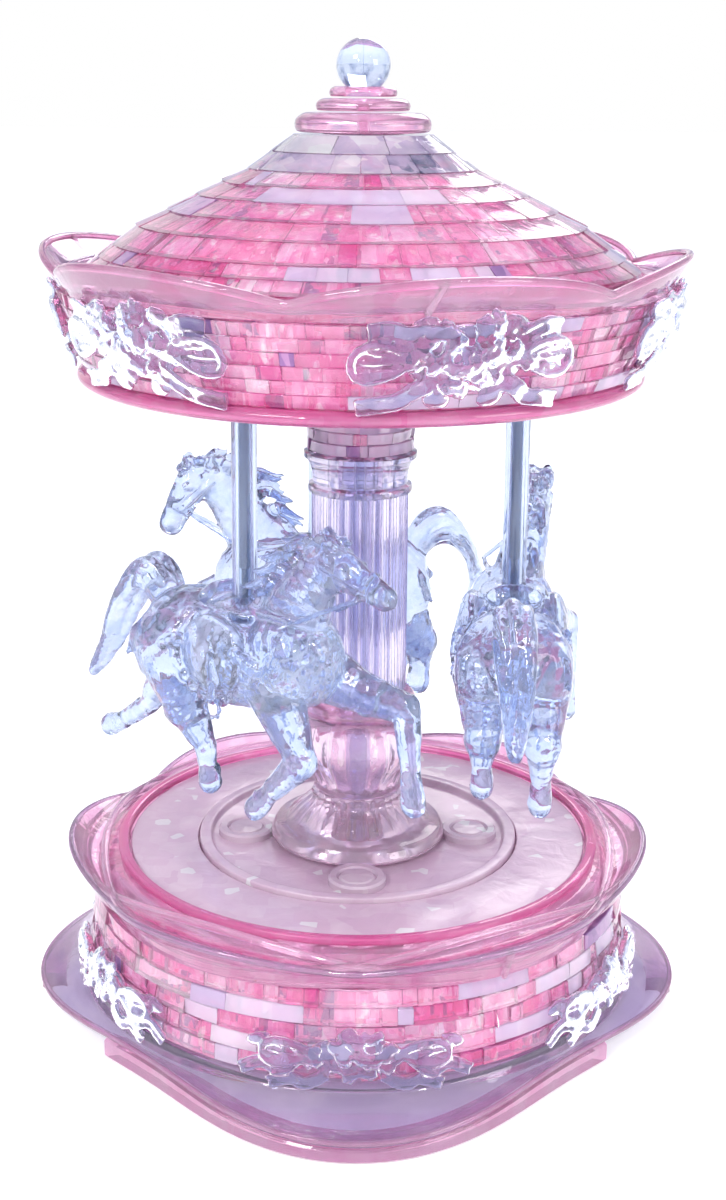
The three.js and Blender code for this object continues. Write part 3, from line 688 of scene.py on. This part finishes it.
def ringLine(name, rule, at, radius, material, nodes, steps=240):
    # a rolled edge: a thin rod that follows the rule all the way round
    points, faces = [], []
    for i in range(steps):
        phi = tau * i / steps
        r, z = rule(phi, *at)
        for k in range(8):
            turn = tau * k / 8
            rr, zz = r + radius * cos(turn), z + radius * sin(turn)
            points.append(onTurn(phi, rr, zz))
    for i in range(steps):
        here, there = i * 8, ((i + 1) % steps) * 8
        for k in range(8):
            n = (k + 1) % 8
            faces.append((here + k, there + k, there + n, here + n))
    return makePiece(name, points, outward(points, faces), material, nodes, sharp=80)


ringLine("petal_rim_edge", petalRule, (57.5, 145.9), 0.75, "pinkSmooth", ["petal_rim"])
ringLine("petal_rim_inner_fold", petalRule, (54.0, 144.0), 0.4, "lavender", ["petal_rim"])
braid = {"middle": 52.2, "height": 29.8, "spread": 2.5, "drop": 1.5}


def braided(side):
    def rule(phi, r, z):
        wave = side * cos(3 * (phi - pi / 6))
        height = braid["height"] + 0.9 - braid["drop"] * wave + 0.8 * abs(wave)
        return braid["middle"] + braid["spread"] * wave, height
    return rule


for side in (-1, 1):
    ringLine(f"base_flange_ribbon_{(side + 3) // 2}", braided(side), (0, 0), 0.8, "palePink",
             ["base_flange"])
ringLine("base_flange_edge", flangeRule, (54.6, 31.0), 0.6, "lavender", ["base_flange"])
ringLine("skirt_tray_edge", skirtRule, (59.0, 3.9), 0.55, "pinkSmooth", ["skirt_tray"])
roof = {"rows": [2, 1, 2, 2, 2], "bricksPerMm": 0.62,
        "outline": [(50.6, 145.2), (45, 149.4), (40.8, 152.7), (30, 158.2), (20.7, 162.8), (12.4, 169)]}
for i, rowCount in enumerate(roof["rows"]):
    (outerLow, low), (outerHigh, high) = roof["outline"][i:i + 2]
    rows = []
    for k in range(rowCount):
        a, b = k / rowCount, (k + 1) / rowCount
        rLow, rHigh = outerLow + (outerHigh - outerLow) * a, outerLow + (outerHigh - outerLow) * b
        zLow, zHigh = low + (high - low) * a, low + (high - low) * b
        rows.append(dict(low=zLow, high=zHigh, outerLow=rLow + 0.3, outerHigh=rHigh + 0.5,
                         depth=1.5 if i < 4 else 5.5, count=max(10, int(rLow * roof["bricksPerMm"]))))
    node = f"roof_course_{i + 1}"
    brickRing(node + "_bricks", rows, [node], 20 + i, "clearBrick" if i == 4 else "pinkBrick")
    if i < 4:
        uprightRing(node + "_uprights", rows, [node], 80 + i, 1.6)
slope = roof["outline"][:5]
roofCore = [(r - 3.2, z) for r, z in slope] + [(r - 7.2, z) for r, z in reversed(slope)]
turnedPiece("roof_core", roofCore, "core", [f"roof_course_{k}" for k in range(1, 5)], corner=0.1,
            rule=lambda phi, r, z: (r + 0.25 * sin(29 * phi + 2 * z), z))

for i in range(3):
    node = f"cap_tier_{i + 1}"
    low, high, outer = lowOf(node), highOf(node), reachOf(node)
    hole = 3.7 if i == 2 else 0.6
    outline = [(hole, low), (outer, low), (outer, high - (high - low) * 0.35), (outer * 0.86, high),
               (hole, high)]
    turnedPiece(node + "_dome", outline, "pinkSmooth", [node], 72, corner=0.8,
                rule=lambda phi, r, z: (r * (1 + 0.012 * cos(8 * phi)), z))

ball = {"centre": 181.1, "radius": 4.9, "rings": 32, "pole": 0.05}
ballOutline = []
for k in range(1, ball["rings"]):
    turn = pi * k / ball["rings"]
    ballOutline.append((ball["radius"] * sin(turn), ball["centre"] - ball["radius"] * cos(turn)))
ballOutline.insert(0, (ball["pole"], ball["centre"] - ball["radius"]))
ballOutline.append((ball["pole"], ball["centre"] + ball["radius"]))
points, faces = turnedMesh(ballOutline, 64)
makePiece("finial_ball", points, faces, "tube", ["finial"], sharp=80)
print("canopy ready")

# poles
riders = {"voxel": 0.4, "rounds": 1, "crinkle": 0.16, "grain": 2.2, "distance": 30,
          "turns": [-43.4, 76.6, 196.6], "yaws": [0, 10, 0]}
pole = {"radius": 2.3, "bore": 1.1, "pinRadius": 0.62, "pinLength": 9}


def standing(outline, facets, phi):
    # turned about the pole's own axis, then stood in its place
    points, faces = turnedMesh(outline, facets)
    dx, dy, _ = onTurn(phi, riders["distance"], 0)
    return [(x + dx, y + dy, z) for x, y, z in points], faces


for i, turn in enumerate(riders["turns"]):
    node = f"pole_{i + 1}"
    phi = radians(turn)
    low, high = lowOf(node), highOf(node)
    wall = [(pole["bore"], low), (pole["radius"], low), (pole["radius"], high), (pole["bore"], high)]
    points, faces = standing(softened(wall, 0.15), 32, phi)
    makePiece(node + "_tube", points, faces, "tube", [node])
    # painted shade: a dark rod fills the hollow bore, standing in for the shade the bore shows through the
    # wall, with the step where the pin ends
    pin, top = pole["pinRadius"], low + pole["pinLength"]
    shade = [(0.05, low + 0.4), (pin, low + 0.4), (pin, top), (1.0, top + 0.4), (1.0, high - 2),
             (0.05, high - 2)]
    points, faces = standing(shade, 24, phi)
    makePiece(node + "_bore", points, faces, "boreShade", [node])
print("poles ready")

# blended lumps: horses and garlands are gathered from these, then fused
def addLump(store, start, end, startR, endR=None, flat=(1, 1), around=14, caps=4):
    # a rod with rounded ends; flat squashes its cross-section along (side, up)
    points, faces = store
    endR = startR if endR is None else endR
    a, b = Vector(start), Vector(end)
    along = b - a
    if along.length < 1e-4:
        along = Vector((0, 0, 1e-3))
    axis = along.normalized()
    side = axis.cross(Vector((0, 0, 1)))
    if side.length < 0.05:
        side = axis.cross(Vector((0, 1, 0)))
    side.normalize()
    up = side.cross(axis)
    rings = []
    for k in range(1, caps + 1):
        t = pi / 2 * k / caps
        rings.append((a - axis * startR * cos(t), startR * sin(t)))
    for k in range(caps):
        t = pi / 2 * k / caps
        rings.append((b + axis * endR * sin(t), endR * cos(t)))
    base = len(points)
    points.append(tuple(a - axis * startR))
    for centre, radius in rings:
        for i in range(around):
            turn = tau * i / around
            points.append(tuple(centre + side * radius * flat[0] * cos(turn)
                                + up * radius * flat[1] * sin(turn)))
    points.append(tuple(b + axis * endR))
    last = len(points) - 1
    for i in range(around):
        n = (i + 1) % around
        faces.append((base, base + 1 + i, base + 1 + n))
        for r in range(len(rings) - 1):
            here, there = base + 1 + r * around, base + 1 + (r + 1) * around
            faces.append((here + n, here + i, there + i, there + n))
        top = base + 1 + (len(rings) - 1) * around
        faces.append((last, top + n, top + i))


def addEgg(store, centre, radii, tilt=0.0, around=20, rows=12):
    # an egg with half-sizes (forward, side, up), tilted nose-up by tilt degrees
    points, faces = store
    turn = Matrix.Rotation(-radians(tilt), 3, "Y")
    base = len(points)
    for j in range(1, rows):
        v = pi * j / rows
        for i in range(around):
            u = tau * i / around
            p = Vector((radii[0] * sin(v) * cos(u), radii[1] * sin(v) * sin(u),
                        radii[2] * cos(v)))
            points.append(tuple(Vector(centre) + turn @ p))
    points.append(tuple(Vector(centre) + turn @ Vector((0, 0, radii[2]))))
    points.append(tuple(Vector(centre) - turn @ Vector((0, 0, radii[2]))))
    north, south = len(points) - 2, len(points) - 1
    for i in range(around):
        n = (i + 1) % around
        faces.append((north, base + i, base + n))
        faces.append((south, base + (rows - 2) * around + n, base + (rows - 2) * around + i))
        for j in range(rows - 2):
            here, there = base + j * around, base + (j + 1) * around
            faces.append((here + n, here + i, there + i, there + n))


def addChain(store, joints, flat, around):
    # joints are (forward, left, up, radius)
    for start, end in zip(joints, joints[1:]):
        addLump(store, start[:3], end[:3], start[3], end[3], flat, around)


def addBead(store, centre, radii):
    addEgg(store, centre, radii, 0, 8, 6)


def addStrand(store, line, radii, flat=(1, 1), around=10):
    for i in range(len(line) - 1):
        addLump(store, line[i], line[i + 1], radii[i], radii[i + 1], flat, around, 3)


def fusedMesh(name, store, voxel, rounds, material, crinkle, grain):
    # one skin round all the lumps, smoothed a little, then crinkled
    rough = bpy.data.meshes.new(name + "_rough")
    rough.from_pydata([(x * mm, y * mm, z * mm) for x, y, z in store[0]], [], store[1])
    holder = addObject(name + "_rough", rough)
    remesh = holder.modifiers.new("skin", "REMESH")
    remesh.mode = "VOXEL"
    remesh.voxel_size = voxel * mm
    smooth = holder.modifiers.new("soften", "SMOOTH")
    smooth.factor = 0.5
    smooth.iterations = rounds
    mesh = bpy.data.meshes.new_from_object(holder.evaluated_get(bpy.context.evaluated_depsgraph_get()))
    mesh.name = name
    moved = []
    for vertex, normal in zip(mesh.vertices, mesh.vertex_normals):
        at = vertex.co / (grain * mm)
        push = noise.noise(at) + 0.5 * noise.noise(at * 2.1)
        moved.extend(vertex.co + normal.vector * push * crinkle * mm)
    mesh.vertices.foreach_set("co", moved)
    bpy.data.objects.remove(holder)
    bpy.data.meshes.remove(rough)
    mesh.materials.clear()
    mesh.materials.append(finish[material])
    tone = mesh.attributes.new("tone", "FLOAT", "FACE")
    tone.data.foreach_set("value", [0.5] * len(mesh.polygons))
    mesh.shade_smooth()
    return mesh


def placeMesh(name, mesh, node, place, turn):
    piece = addObject(name, mesh)
    piece.location = [v * mm for v in place]
    piece.rotation_euler = (0, 0, turn)
    standIn(piece, node)


# horses: points are (forward, left, height) from the foot of the pole
# each leg runs hip, knee, fetlock, hoof tip; each strand of the tail follows the same spine
gallop = {
    "neck": [(11, 0, 83, 7.6), (14.5, 0, 89, 6.2), (18, 0, 94.5, 4.8), (21.5, 0, 98, 3.9)],
    "head": [(21.5, 0, 98, 3.9), (25.5, 0, 97.2, 3.7), (30, 0, 95.9, 2.7), (34.6, 0, 94.6, 2.3)],
    "tail": [(-21, 0, 82.5), (-25, 0, 86.6), (-29, 0, 85.8), (-34, 0, 79.5), (-38.5, 0, 71),
             (-44.5, 0, 62.8)],
    "legs": [
        [(-15, 5, 74, 8), (-28.5, 5.5, 65.5, 4.4), (-34.3, 5.5, 57, 2.3), (-43, 5.5, 51, 1.9),
         (-47, 5.5, 49, 2.5)],
        [(-14, -5, 74, 8), (-9, -6.8, 66.5, 4.6), (-3.6, -6.8, 60, 2.4), (-3.2, -6.8, 56, 1.9),
         (-2.4, -6.8, 53.4, 2.5)],
        [(12, -4.5, 75, 6.4), (21.2, -6.6, 63.6, 3), (13.2, -6.6, 55.5, 2), (9.4, -6.6, 51.4, 2.4)],
        [(14, 4.5, 76, 6), (25, 6, 73.6, 3.8), (33.6, 6.5, 73.2, 2.9), (34.8, 6.5, 62, 2),
         (35.6, 6.5, 56, 2.5)],
    ],
    "forelock": (22.4, 0, 101.4),
    "ears": [(19.2, 2.2, 101.3), (19.2, -2.2, 101.3)],
    "mane": [(20.5, 101, -5, -1), (18, 99.5, -7, -1.5), (15.5, 97, -8.5, -1.5), (13, 94, -9, -2),
             (10.8, 91, -9, -2.5),
             (9, 88, -8, -3)],
    "seat": 85.2, "bend": 0,
}
prance = {
    "neck": [(10, -0.5, 81, 7.8), (14, -2, 87.5, 6.2), (17.6, -3.6, 93.5, 4.9), (21.5, -4.6, 97.8, 4)],
    "head": [(21.5, -4.6, 98, 4), (25.4, -5, 97.4, 4), (28, -5.2, 93.4, 3.1), (30, -5.4, 89.2, 2.7)],
    "tail": [(-20.5, 0, 80.5), (-24, 0, 85.5), (-29, 0, 86), (-33.6, 0, 80), (-35, 0, 72), (-33, 0, 64.5)],
    "legs": [
        [(-14, 4.8, 72, 8), (-20.5, 5.4, 62.8, 4), (-20.8, 5.4, 57.4, 2.3), (-20.4, 5.4, 53.6, 2.7)],
        [(-14, -4.8, 72, 8), (-22.4, -5.4, 62.4, 3.9), (-19.4, -5.4, 54.4, 2.2), (-18, -5.4, 49.4, 2.8)],
        [(12, -4.8, 75, 6.6), (22.2, -11.6, 71.4, 3), (20.2, -12, 61, 2.1), (19, -11.8, 54.6, 2.6)],
        [(12, 4.8, 75, 6.2), (20.4, 6.2, 66.4, 3), (14.6, 6.2, 60.6, 2), (10.6, 6.2, 56.8, 2.5)],
    ],
    "forelock": (25.4, -4.8, 102),
    "ears": [(21, -2.4, 102.2), (21, -7, 102.2)],
    "mane": [(22, 101.6, -4.5, 0), (19, 100.5, -6.5, -1), (16, 98, -7.5, -1.5), (13.6, 94.6, -7.5, -2),
             (11.4, 91, -7.5, -2.5),
             (9.6, 87.8, -7, -3)],
    "seat": 83.6, "bend": -0.28,
}


def horseStore(pose, seed):
    rng = random.Random(seed)
    store = ([], [])
    seat = pose["seat"]
    drop = seat - 85.2
    addEgg(store, (-13.5, 0, 77.6 + drop), (10.6, 10.2, 9.2), -8)
    addEgg(store, (0, 0, 76.4 + drop), (16, 10, 9.2), 4)
    addEgg(store, (12.4, 0, 79 + drop), (10, 8.8, 9.4), 18)
    for side in (-1, 1):
        addEgg(store, (-15.5, 5.4 * side, 76 + drop), (7.4, 5.6, 8.2), -20)
        addEgg(store, (14, 4.2 * side, 77.6 + drop), (5.6, 5, 7.6), 20)
    neck, head = pose["neck"], pose["head"]
    addChain(store, neck, (0.72, 1.0), 20)
    addChain(store, head, (0.72, 1.0), 16)
    nose, brow, cheek = Vector(head[-1][:3]), Vector(head[1][:3]), Vector(head[0][:3])
    alongHead = (nose - brow).normalized()
    below = Vector((-alongHead.z, 0, alongHead.x))
    if below.z > 0:
        below = -below
    addEgg(store, tuple(cheek * 0.55 + brow * 0.45 + below * 1.7), (3.4, 2.7, 3.2))
    addLump(store, tuple(nose - alongHead * 3.4 + below * 1.4), tuple(nose - alongHead * 0.4 + below * 1.5),
            1.3, 1.2)
    for side in (-1, 1):
        addEgg(store, tuple(brow + alongHead * 0.8 - below * 1.3 + Vector((0, 2.4 * side, 0))),
               (1.25, 0.8, 0.95))
        addEgg(store, tuple(nose - below * 0.5 + Vector((0, 1.3 * side, 0))), (1.1, 0.8, 0.9))
        # bridle: noseband and cheek strap
        for part in range(7):
            turn = pi * (part / 6 - 0.5)
            ringAt = nose - alongHead * 3.6 - below * 0.2
            reach = Vector((0, 2.1 * side * cos(turn), 0))
            addBead(store, tuple(ringAt + below * 2.5 * sin(turn) + reach), (0.55, 0.5, 0.55))
        addStrand(store, [tuple(ringAt + Vector((0, 2.3 * side, 0))),
                          tuple(cheek + Vector((0.6, 3.1 * side, 0.4)))],
                  [0.45, 0.45])
        # reins back to the saddle
        addStrand(store, [tuple(ringAt + below * 1.6 + Vector((0, 2.0 * side, 0))),
                          (18, 5.6 * side, seat + 2.5),
                          (8, 4.5 * side, seat + 2.2)], [0.5, 0.5, 0.5])
    for x, y, z in pose["ears"]:
        addLump(store, (x, y, z - 1.4), (x - 0.6, y * 1.12, z + 1.1), 1.15, 0.35, (0.7, 1.0), 8)
    flower = Vector(pose["forelock"])
    for k in range(16):
        spread = Vector((rng.uniform(-3.2, 3.2), rng.uniform(-2.6, 2.6), rng.uniform(-1.6, 1.1)))
        addBead(store, tuple(flower + spread), [rng.uniform(0.7, 1.15)] * 3)
    for x, z, dx, dz in pose["mane"]:
        for side in (-1, 0, 1):
            reach = rng.uniform(0.8, 1.2)
            lift = rng.uniform(-1.2, 1.6)
            lean = pose["bend"] * max(0, x - 6)
            line = [(x, lean + side * 1.2, z),
                    (x + dx * 0.35 * reach, lean + side * 2.2, z + 0.9 + lift * 0.5),
                    (x + dx * 0.75 * reach, lean + side * 2.8, z + dz * 0.5 + lift),
                    (x + dx * reach, lean + side * 3.0, z + dz + lift * 1.5)]
            addStrand(store, curve(line, 3), [1.6 * (1 - 0.75 * k / 9) for k in range(10)], (0.8, 1), 8)
    spine = curve(pose["tail"], 4)
    for strand in range(7):
        angle = tau * strand / 7
        line, radii = [], []
        for k, p in enumerate(spine):
            t = k / (len(spine) - 1)
            spread = 2.7 * sin(pi * min(1, 0.2 + 0.72 * t)) * (1 + 0.2 * sin(5 * t + strand))
            swing = angle + 1.4 * t
            line.append((p[0] + spread * 0.6 * sin(swing + 0.8), p[1] + spread * cos(swing),
                         p[2] + spread * sin(swing)))
            radii.append(1.75 * (1 - 0.62 * t ** 1.5))
        addStrand(store, line, radii, (1, 1), 8)
    for leg in pose["legs"]:
        addChain(store, leg, (0.82, 1.0), 14)
        knee, hoof, fetlock = Vector(leg[1][:3]), Vector(leg[-1][:3]), Vector(leg[-2][:3])
        addEgg(store, tuple(knee), (leg[1][3] * 1.06, leg[1][3] * 0.9, leg[1][3] * 1.06), 0, 12, 8)
        for k in range(5):
            hair = Vector((rng.uniform(-1, 1), rng.uniform(-1, 1), rng.uniform(-0.6, 0.9)))
            addBead(store, tuple(fetlock * 0.4 + hoof * 0.6 + hair * 1.3), (0.8, 0.8, 1.3))
    # saddle, cloth and trappings
    addEgg(store, (0.8, 0, seat + 0.6), (8.2, 6.6, 2.1))
    addEgg(store, (-6.4, 0, seat + 1.9), (2.2, 5.4, 2.4), -25)
    addEgg(store, (7.6, 0, seat + 1.7), (1.8, 3.6, 2.2), 20)
    for side in (-1, 1):
        addEgg(store, (0.4, 7.8 * side, 78.6 + drop), (8.4, 2.9, 7.4))
        for k in range(11):
            turn = pi * (0.02 + 0.96 * k / 10)
            addBead(store, (0.4 - 9.2 * cos(turn), 9.3 * side - 0.9 * side * sin(turn),
                            77.8 + drop - 7.4 * sin(turn)), (1.25, 1.1, 1.25))
        # stirrup strap and stirrup
        addStrand(store, [(1.5, 9.7 * side, 81 + drop), (2.6, 10.9 * side, 76 + drop),
                          (3.2, 11.2 * side, 72 + drop)],
                  [0.7, 0.7, 0.8])
        for k in range(8):
            turn = tau * k / 8
            addBead(store, (3.3 + 1.9 * cos(turn), 11.2 * side, 70.2 + drop + 1.9 * sin(turn)),
                    (0.6, 0.6, 0.6))
        # breast band and crupper, hung with small flowers
        for k in range(9):
            t = k / 8
            addBead(store, (8 + 12.4 * t, (9.4 - 6.6 * t ** 2.2) * side,
                            80.6 + drop - 3.4 * sin(pi * t * 0.6)),
                    (1.25, 0.95, 1.25))
            addBead(store, (-7.5 - 15.5 * t, (10.1 - 6.6 * t ** 3) * side,
                            80.4 + drop - 3.6 * sin(pi * t * 0.8)),
                    (1.2, 0.95, 1.2))
        # folds of cloth over the rump
        for k in range(6):
            addStrand(store, [(-7 - 2.2 * k, 5.5 * side, 84.6 + drop - 0.35 * k),
                              (-8.4 - 2.3 * k, 9.3 * side, 79 + drop),
                              (-9.6 - 2.4 * k, 9.8 * side, 74.4 + drop)], [0.8, 1.0, 0.5], (1, 1), 8)
    return store


voxelScale = 1.0
horseMeshes = [fusedMesh(name, horseStore(pose, seed), riders["voxel"] * voxelScale, riders["rounds"],
                         "crystal", riders["crinkle"], riders["grain"])
               for name, pose, seed in (("gallopingHorse", gallop, 5), ("prancingHorse", prance, 6))]
for i, turn in enumerate(riders["turns"]):
    phi = radians(turn)
    placeMesh(f"horse_{i + 1}_figure", horseMeshes[min(i, 1)], f"horse_{i + 1}",
              onTurn(phi, riders["distance"], 0), phi + radians(riders["yaws"][i]))
print("horses ready")


# garlands: points are (across, outward, up) on the flat, then bent round the wall
def addFlower(store, place, radius, rng):
    x, y, z = place
    start = rng.random() * tau
    for k in range(5):
        turn = start + tau * k / 5
        addBead(store, (x + radius * 0.62 * cos(turn), y, z + radius * 0.62 * sin(turn)),
                (radius * 0.46, radius * 0.42, radius * 0.46))
    addBead(store, (x, y + radius * 0.3, z), (radius * 0.34, radius * 0.4, radius * 0.34))


def addBow(store, side, centre, size, dip):
    # a loop of folded ribbon: a raised edge round a thin puffed sheet
    cx, cz = centre
    w, h = size
    rim = []
    for k in range(19):
        turn = tau * k / 18
        bulge = 1.6 + 1.2 * cos(turn) * 0.6
        rim.append((cx * side + side * w * cos(turn),
                    1.3 + 0.5 * bulge * (0.4 + 0.6 * sin(turn / 2) ** 2),
                    cz + h * sin(turn) * (0.75 + 0.25 * cos(turn)) - dip * cos(turn)))
    addStrand(store, rim, [0.75] * len(rim), (1, 1), 8)
    addEgg(store, (cx * side, 0.9, cz), (w * 0.95, 0.75, h * 0.8))
    for k in range(3):
        fold = k - 1
        addStrand(store, [(cx * side - side * w * 0.8, 1.4, cz + fold * 0.7),
                          (cx * side, 1.9, cz + fold * h * 0.38),
                          (cx * side + side * w * 0.7, 1.5, cz + fold * h * 0.5)], [0.4, 0.45, 0.3], (1, 1), 8)


def addRibbon(store, line, width, thick=0.55):
    # a flat band that waves along the line
    line = curve(line, 4)
    for i in range(len(line) - 1):
        a, b = Vector(line[i]), Vector(line[i + 1])
        across = Vector((-(b - a).z, 0, (b - a).x)).normalized()
        half = width / 2
        for k in (-1, -0.33, 0.33, 1):
            shift = across * half * k + Vector((0, 0.25 * (1 if abs(k) > 0.5 else 0), 0))
            addLump(store, tuple(a + shift), tuple(b + shift), thick, thick, (1, 1), 8, 3)


def canopyGarland():
    rng = random.Random(31)
    store = ([], [])
    addEgg(store, (0, 0.9, 0), (10.5, 1.5, 5.8))
    for k in range(46):
        turn, far = rng.random() * tau, sqrt(rng.random())
        x, z = 10.6 * far * cos(turn), 6.6 * far * sin(turn) + 0.6
        addFlower(store, (x, 1.5 + 1.9 * (1 - far ** 2) + rng.uniform(-0.2, 0.5), z), rng.uniform(1.1, 1.9),
                  rng)
    for side in (-1, 1):
        addBow(store, side, (13.8, -0.4), (4.6, 3.9), 0.4)
        addRibbon(store, [(6 * side, 1.4, -4), (8.5 * side, 1.8, -5.2), (10.5 * side, 1.1, -6.9),
                          (13.2 * side, 1.7, -7.3),
                          (16.6 * side, 1.0, -8)], 2.2)
        addRibbon(store, [(-9 * side, 1.2, 3.2), (-12.5 * side, 1.6, 5), (-15.8 * side, 1.0, 4.6)], 2.0)
        addEgg(store, (4.5 * side, 1.1, -6.6), (2.4, 0.8, 1.8), 20 * side)
        addEgg(store, (7.5 * side, 1.1, 5.4), (2.6, 0.8, 1.6), -20 * side)
    return store


def baseGarland():
    rng = random.Random(47)
    store = ([], [])
    addEgg(store, (0, 0.8, 0.4), (8.5, 1.3, 3.6))
    for k in range(34):
        turn, far = rng.random() * tau, sqrt(rng.random())
        x, z = 9.4 * far * cos(turn), 4.1 * far * sin(turn) + 0.7
        addFlower(store, (x, 1.3 + 1.6 * (1 - far ** 2) + rng.uniform(-0.2, 0.4), z), rng.uniform(0.95, 1.5),
                  rng)
    for side in (-1, 1):
        addBow(store, side, (12, 0.9), (4, 2.7), 0.2)
        addRibbon(store, [(9.5 * side, 1.3, 0), (13 * side, 1.7, -2.2), (16.2 * side, 1.1, -1.6),
                          (19.8 * side, 1.3, -3.4)], 1.5)
        addRibbon(store, [(5 * side, 1.2, -2.8), (8.4 * side, 1.6, -4.4), (11 * side, 1.1, -3.9),
                          (14.6 * side, 1.4, -5)], 1.5)
        addEgg(store, (16.6 * side, 1.0, 2.2), (2.6, 0.7, 1.3), -15 * side)
    return store


def bend(mesh, middle, radiusAt):
    for vertex in mesh.vertices:
        x, y, z = (v / mm for v in vertex.co)
        height = middle + z
        radius = radiusAt(height)
        turn = x / radius
        vertex.co = ((radius + y) * sin(turn) * mm, -(radius + y) * cos(turn) * mm, height * mm)
    mesh.update()


garlands = {"count": 6, "voxel": 0.34, "rounds": 1, "crinkle": 0.1, "grain": 1.1, "canopyTurn": 17.7,
            "canopyMiddle": 136.2, "baseMiddle": 14.4}
canopyMesh, baseMesh = (
    fusedMesh(name, store, garlands["voxel"] * voxelScale, garlands["rounds"], "garland", garlands["crinkle"],
              garlands["grain"])
    for name, store in (("canopyGarland", canopyGarland()), ("baseGarland", baseGarland())))
bend(canopyMesh, garlands["canopyMiddle"], lambda z: 51.6 + (z - 127.5) * 0.284 + 0.35)
bend(baseMesh, garlands["baseMiddle"], lambda z: 53.4 - (z - 9.7) * 0.086 + 0.35)
for i in range(garlands["count"]):
    step = i * tau / garlands["count"]
    placeMesh(f"canopy_garland_{i + 1}_bouquet", canopyMesh, f"canopy_garland_{i + 1}", (0, 0, 0),
              step + radians(garlands["canopyTurn"]))
    placeMesh(f"base_garland_{i + 1}_bouquet", baseMesh, f"base_garland_{i + 1}", (0, 0, 0), step)
print("garlands ready")

# small clips that pin the petals and the flange together
# each clip runs from its foot to its head, given as (degrees round, radius, height)
clips = {"size": 0.8, "canopy": [(10.4, 57.4, 143.7), (12.4, 59.5, 148.4)],
         "flange": [(28, 54.9, 27.3), (28, 56.6, 32.2)]}


def addClips(name, ends, node):
    store = ([], [])
    for third in range(3):
        corners = []
        for turn, r, z in ends:
            corners.append(onTurn(radians(turn + 120 * third), r, z))
        addLump(store, *corners, clips["size"] * 0.8, clips["size"])
    makePiece(name, *store, "palePink", [node], sharp=60)


addClips("petal_rim_clips", clips["canopy"], "petal_rim")
addClips("base_flange_clips", clips["flange"], "base_flange")

# inner movement keeps its solids, in metal
for node, metal in (("spring_barrel", "brass"), ("pinned_cylinder", "brass"), ("winding_key", "brass"),
                    ("governor", "brass"), ("bedplate", "steel"), ("comb", "steel"), ("mainspring", "steel")):
    solid = frame["nodes"][node]
    solid.data.materials.clear()
    solid.data.materials.append(finish[metal])

# stage
def makeStage():
    mesh = bpy.data.meshes.new("floor")
    mesh.from_pydata([(-6, -6, -0.0002), (6, -6, -0.0002), (6, 6, -0.0002), (-6, 6, -0.0002)], [],
                     [(0, 1, 2, 3)])
    material, _, _, shader = newFinish("floorPaper")
    shader.inputs["Base Color"].default_value = (0.95, 0.95, 0.95, 1)
    shader.inputs["Roughness"].default_value = 1.0
    shader.inputs["Specular IOR Level"].default_value = 0.0
    shader.inputs["Emission Color"].default_value = (1, 1, 1, 1)
    shader.inputs["Emission Strength"].default_value = 0.35
    mesh.materials.append(material)
    addObject("floor", mesh)


studio = {"world": 0.94, "patch": 2.6, "key": 1.8, "fill": 1.0, "rim": 0.9,
          "sparkLeft": 0.7, "sparkRight": 0.7}


def makeLights():
    world = bpy.data.worlds.new("studioSky")
    bpy.context.scene.world = world
    world.use_nodes = True
    # plain white behind the part; slate and white patches for the clear pieces to bend and mirror
    nodes, links = world.node_tree.nodes, world.node_tree.links
    paper = nodes["Background"]
    paper.inputs["Color"].default_value = (1, 1, 1, 1)
    room = nodes.new("ShaderNodeBackground")
    room.inputs["Strength"].default_value = studio["world"]
    place = nodes.new("ShaderNodeTexCoord")
    patches = nodes.new("ShaderNodeTexNoise")
    patches.inputs["Scale"].default_value = studio["patch"]
    patches.inputs["Detail"].default_value = 2
    links.new(place.outputs["Generated"], patches.inputs["Vector"])
    ramp = nodes.new("ShaderNodeValToRGB")
    ramp.color_ramp.elements[0].position = 0.32
    ramp.color_ramp.elements[0].color = rgb(0x54688c)
    ramp.color_ramp.elements[1].position = 0.56
    ramp.color_ramp.elements[1].color = (1.12, 1.12, 1.15, 1)
    ramp.color_ramp.elements.new(0.43).color = rgb(0xd0d8f2)
    links.new(patches.outputs["Fac"], ramp.inputs["Fac"])
    links.new(ramp.outputs["Color"], room.inputs["Color"])
    path = nodes.new("ShaderNodeLightPath")
    pick = nodes.new("ShaderNodeMixShader")
    links.new(path.outputs["Is Camera Ray"], pick.inputs["Fac"])
    links.new(room.outputs["Background"], pick.inputs[1])
    links.new(paper.outputs["Background"], pick.inputs[2])
    links.new(pick.outputs["Shader"], nodes["World Output"].inputs["Surface"])
    spots = {"key": ((-0.35, -0.45, 0.55), 0.18), "fill": ((0.5, -0.35, 0.3), 0.25),
             "rim": ((0.1, 0.5, 0.45), 0.3),
             "sparkLeft": ((-0.2, -0.5, 0.35), 0.03), "sparkRight": ((0.28, -0.42, 0.5), 0.03)}
    for name, (place, size) in spots.items():
        light = bpy.data.lights.new(name, "AREA")
        light.energy = studio[name]
        light.size = size
        lamp = addObject(name, light)
        lamp.location = place
        aim = Vector((0, 0, 0.09)) - Vector(place)
        lamp.rotation_euler = aim.to_track_quat("-Z", "Y").to_euler()


view = {"place": (0.00055, -0.3251, 0.1788), "down": 13.55, "roll": 0.47, "lens": 52.5, "shift": -0.0833}


def makeCamera():
    camera = bpy.data.cameras.new("camera")
    camera.lens = view["lens"]
    camera.shift_y = view["shift"]
    camera.clip_start = 0.01
    holder = addObject("camera", camera)
    holder.location = view["place"]
    turn = Euler((radians(90 - view["down"]), 0, 0)).to_matrix()
    holder.rotation_euler = (turn @ Matrix.Rotation(radians(view["roll"]), 3, "Z")).to_euler()
    bpy.context.scene.camera = holder


makeStage()
makeLights()
makeCamera()
bpy.context.scene.view_settings.view_transform = "Standard"
print("pieces ready")
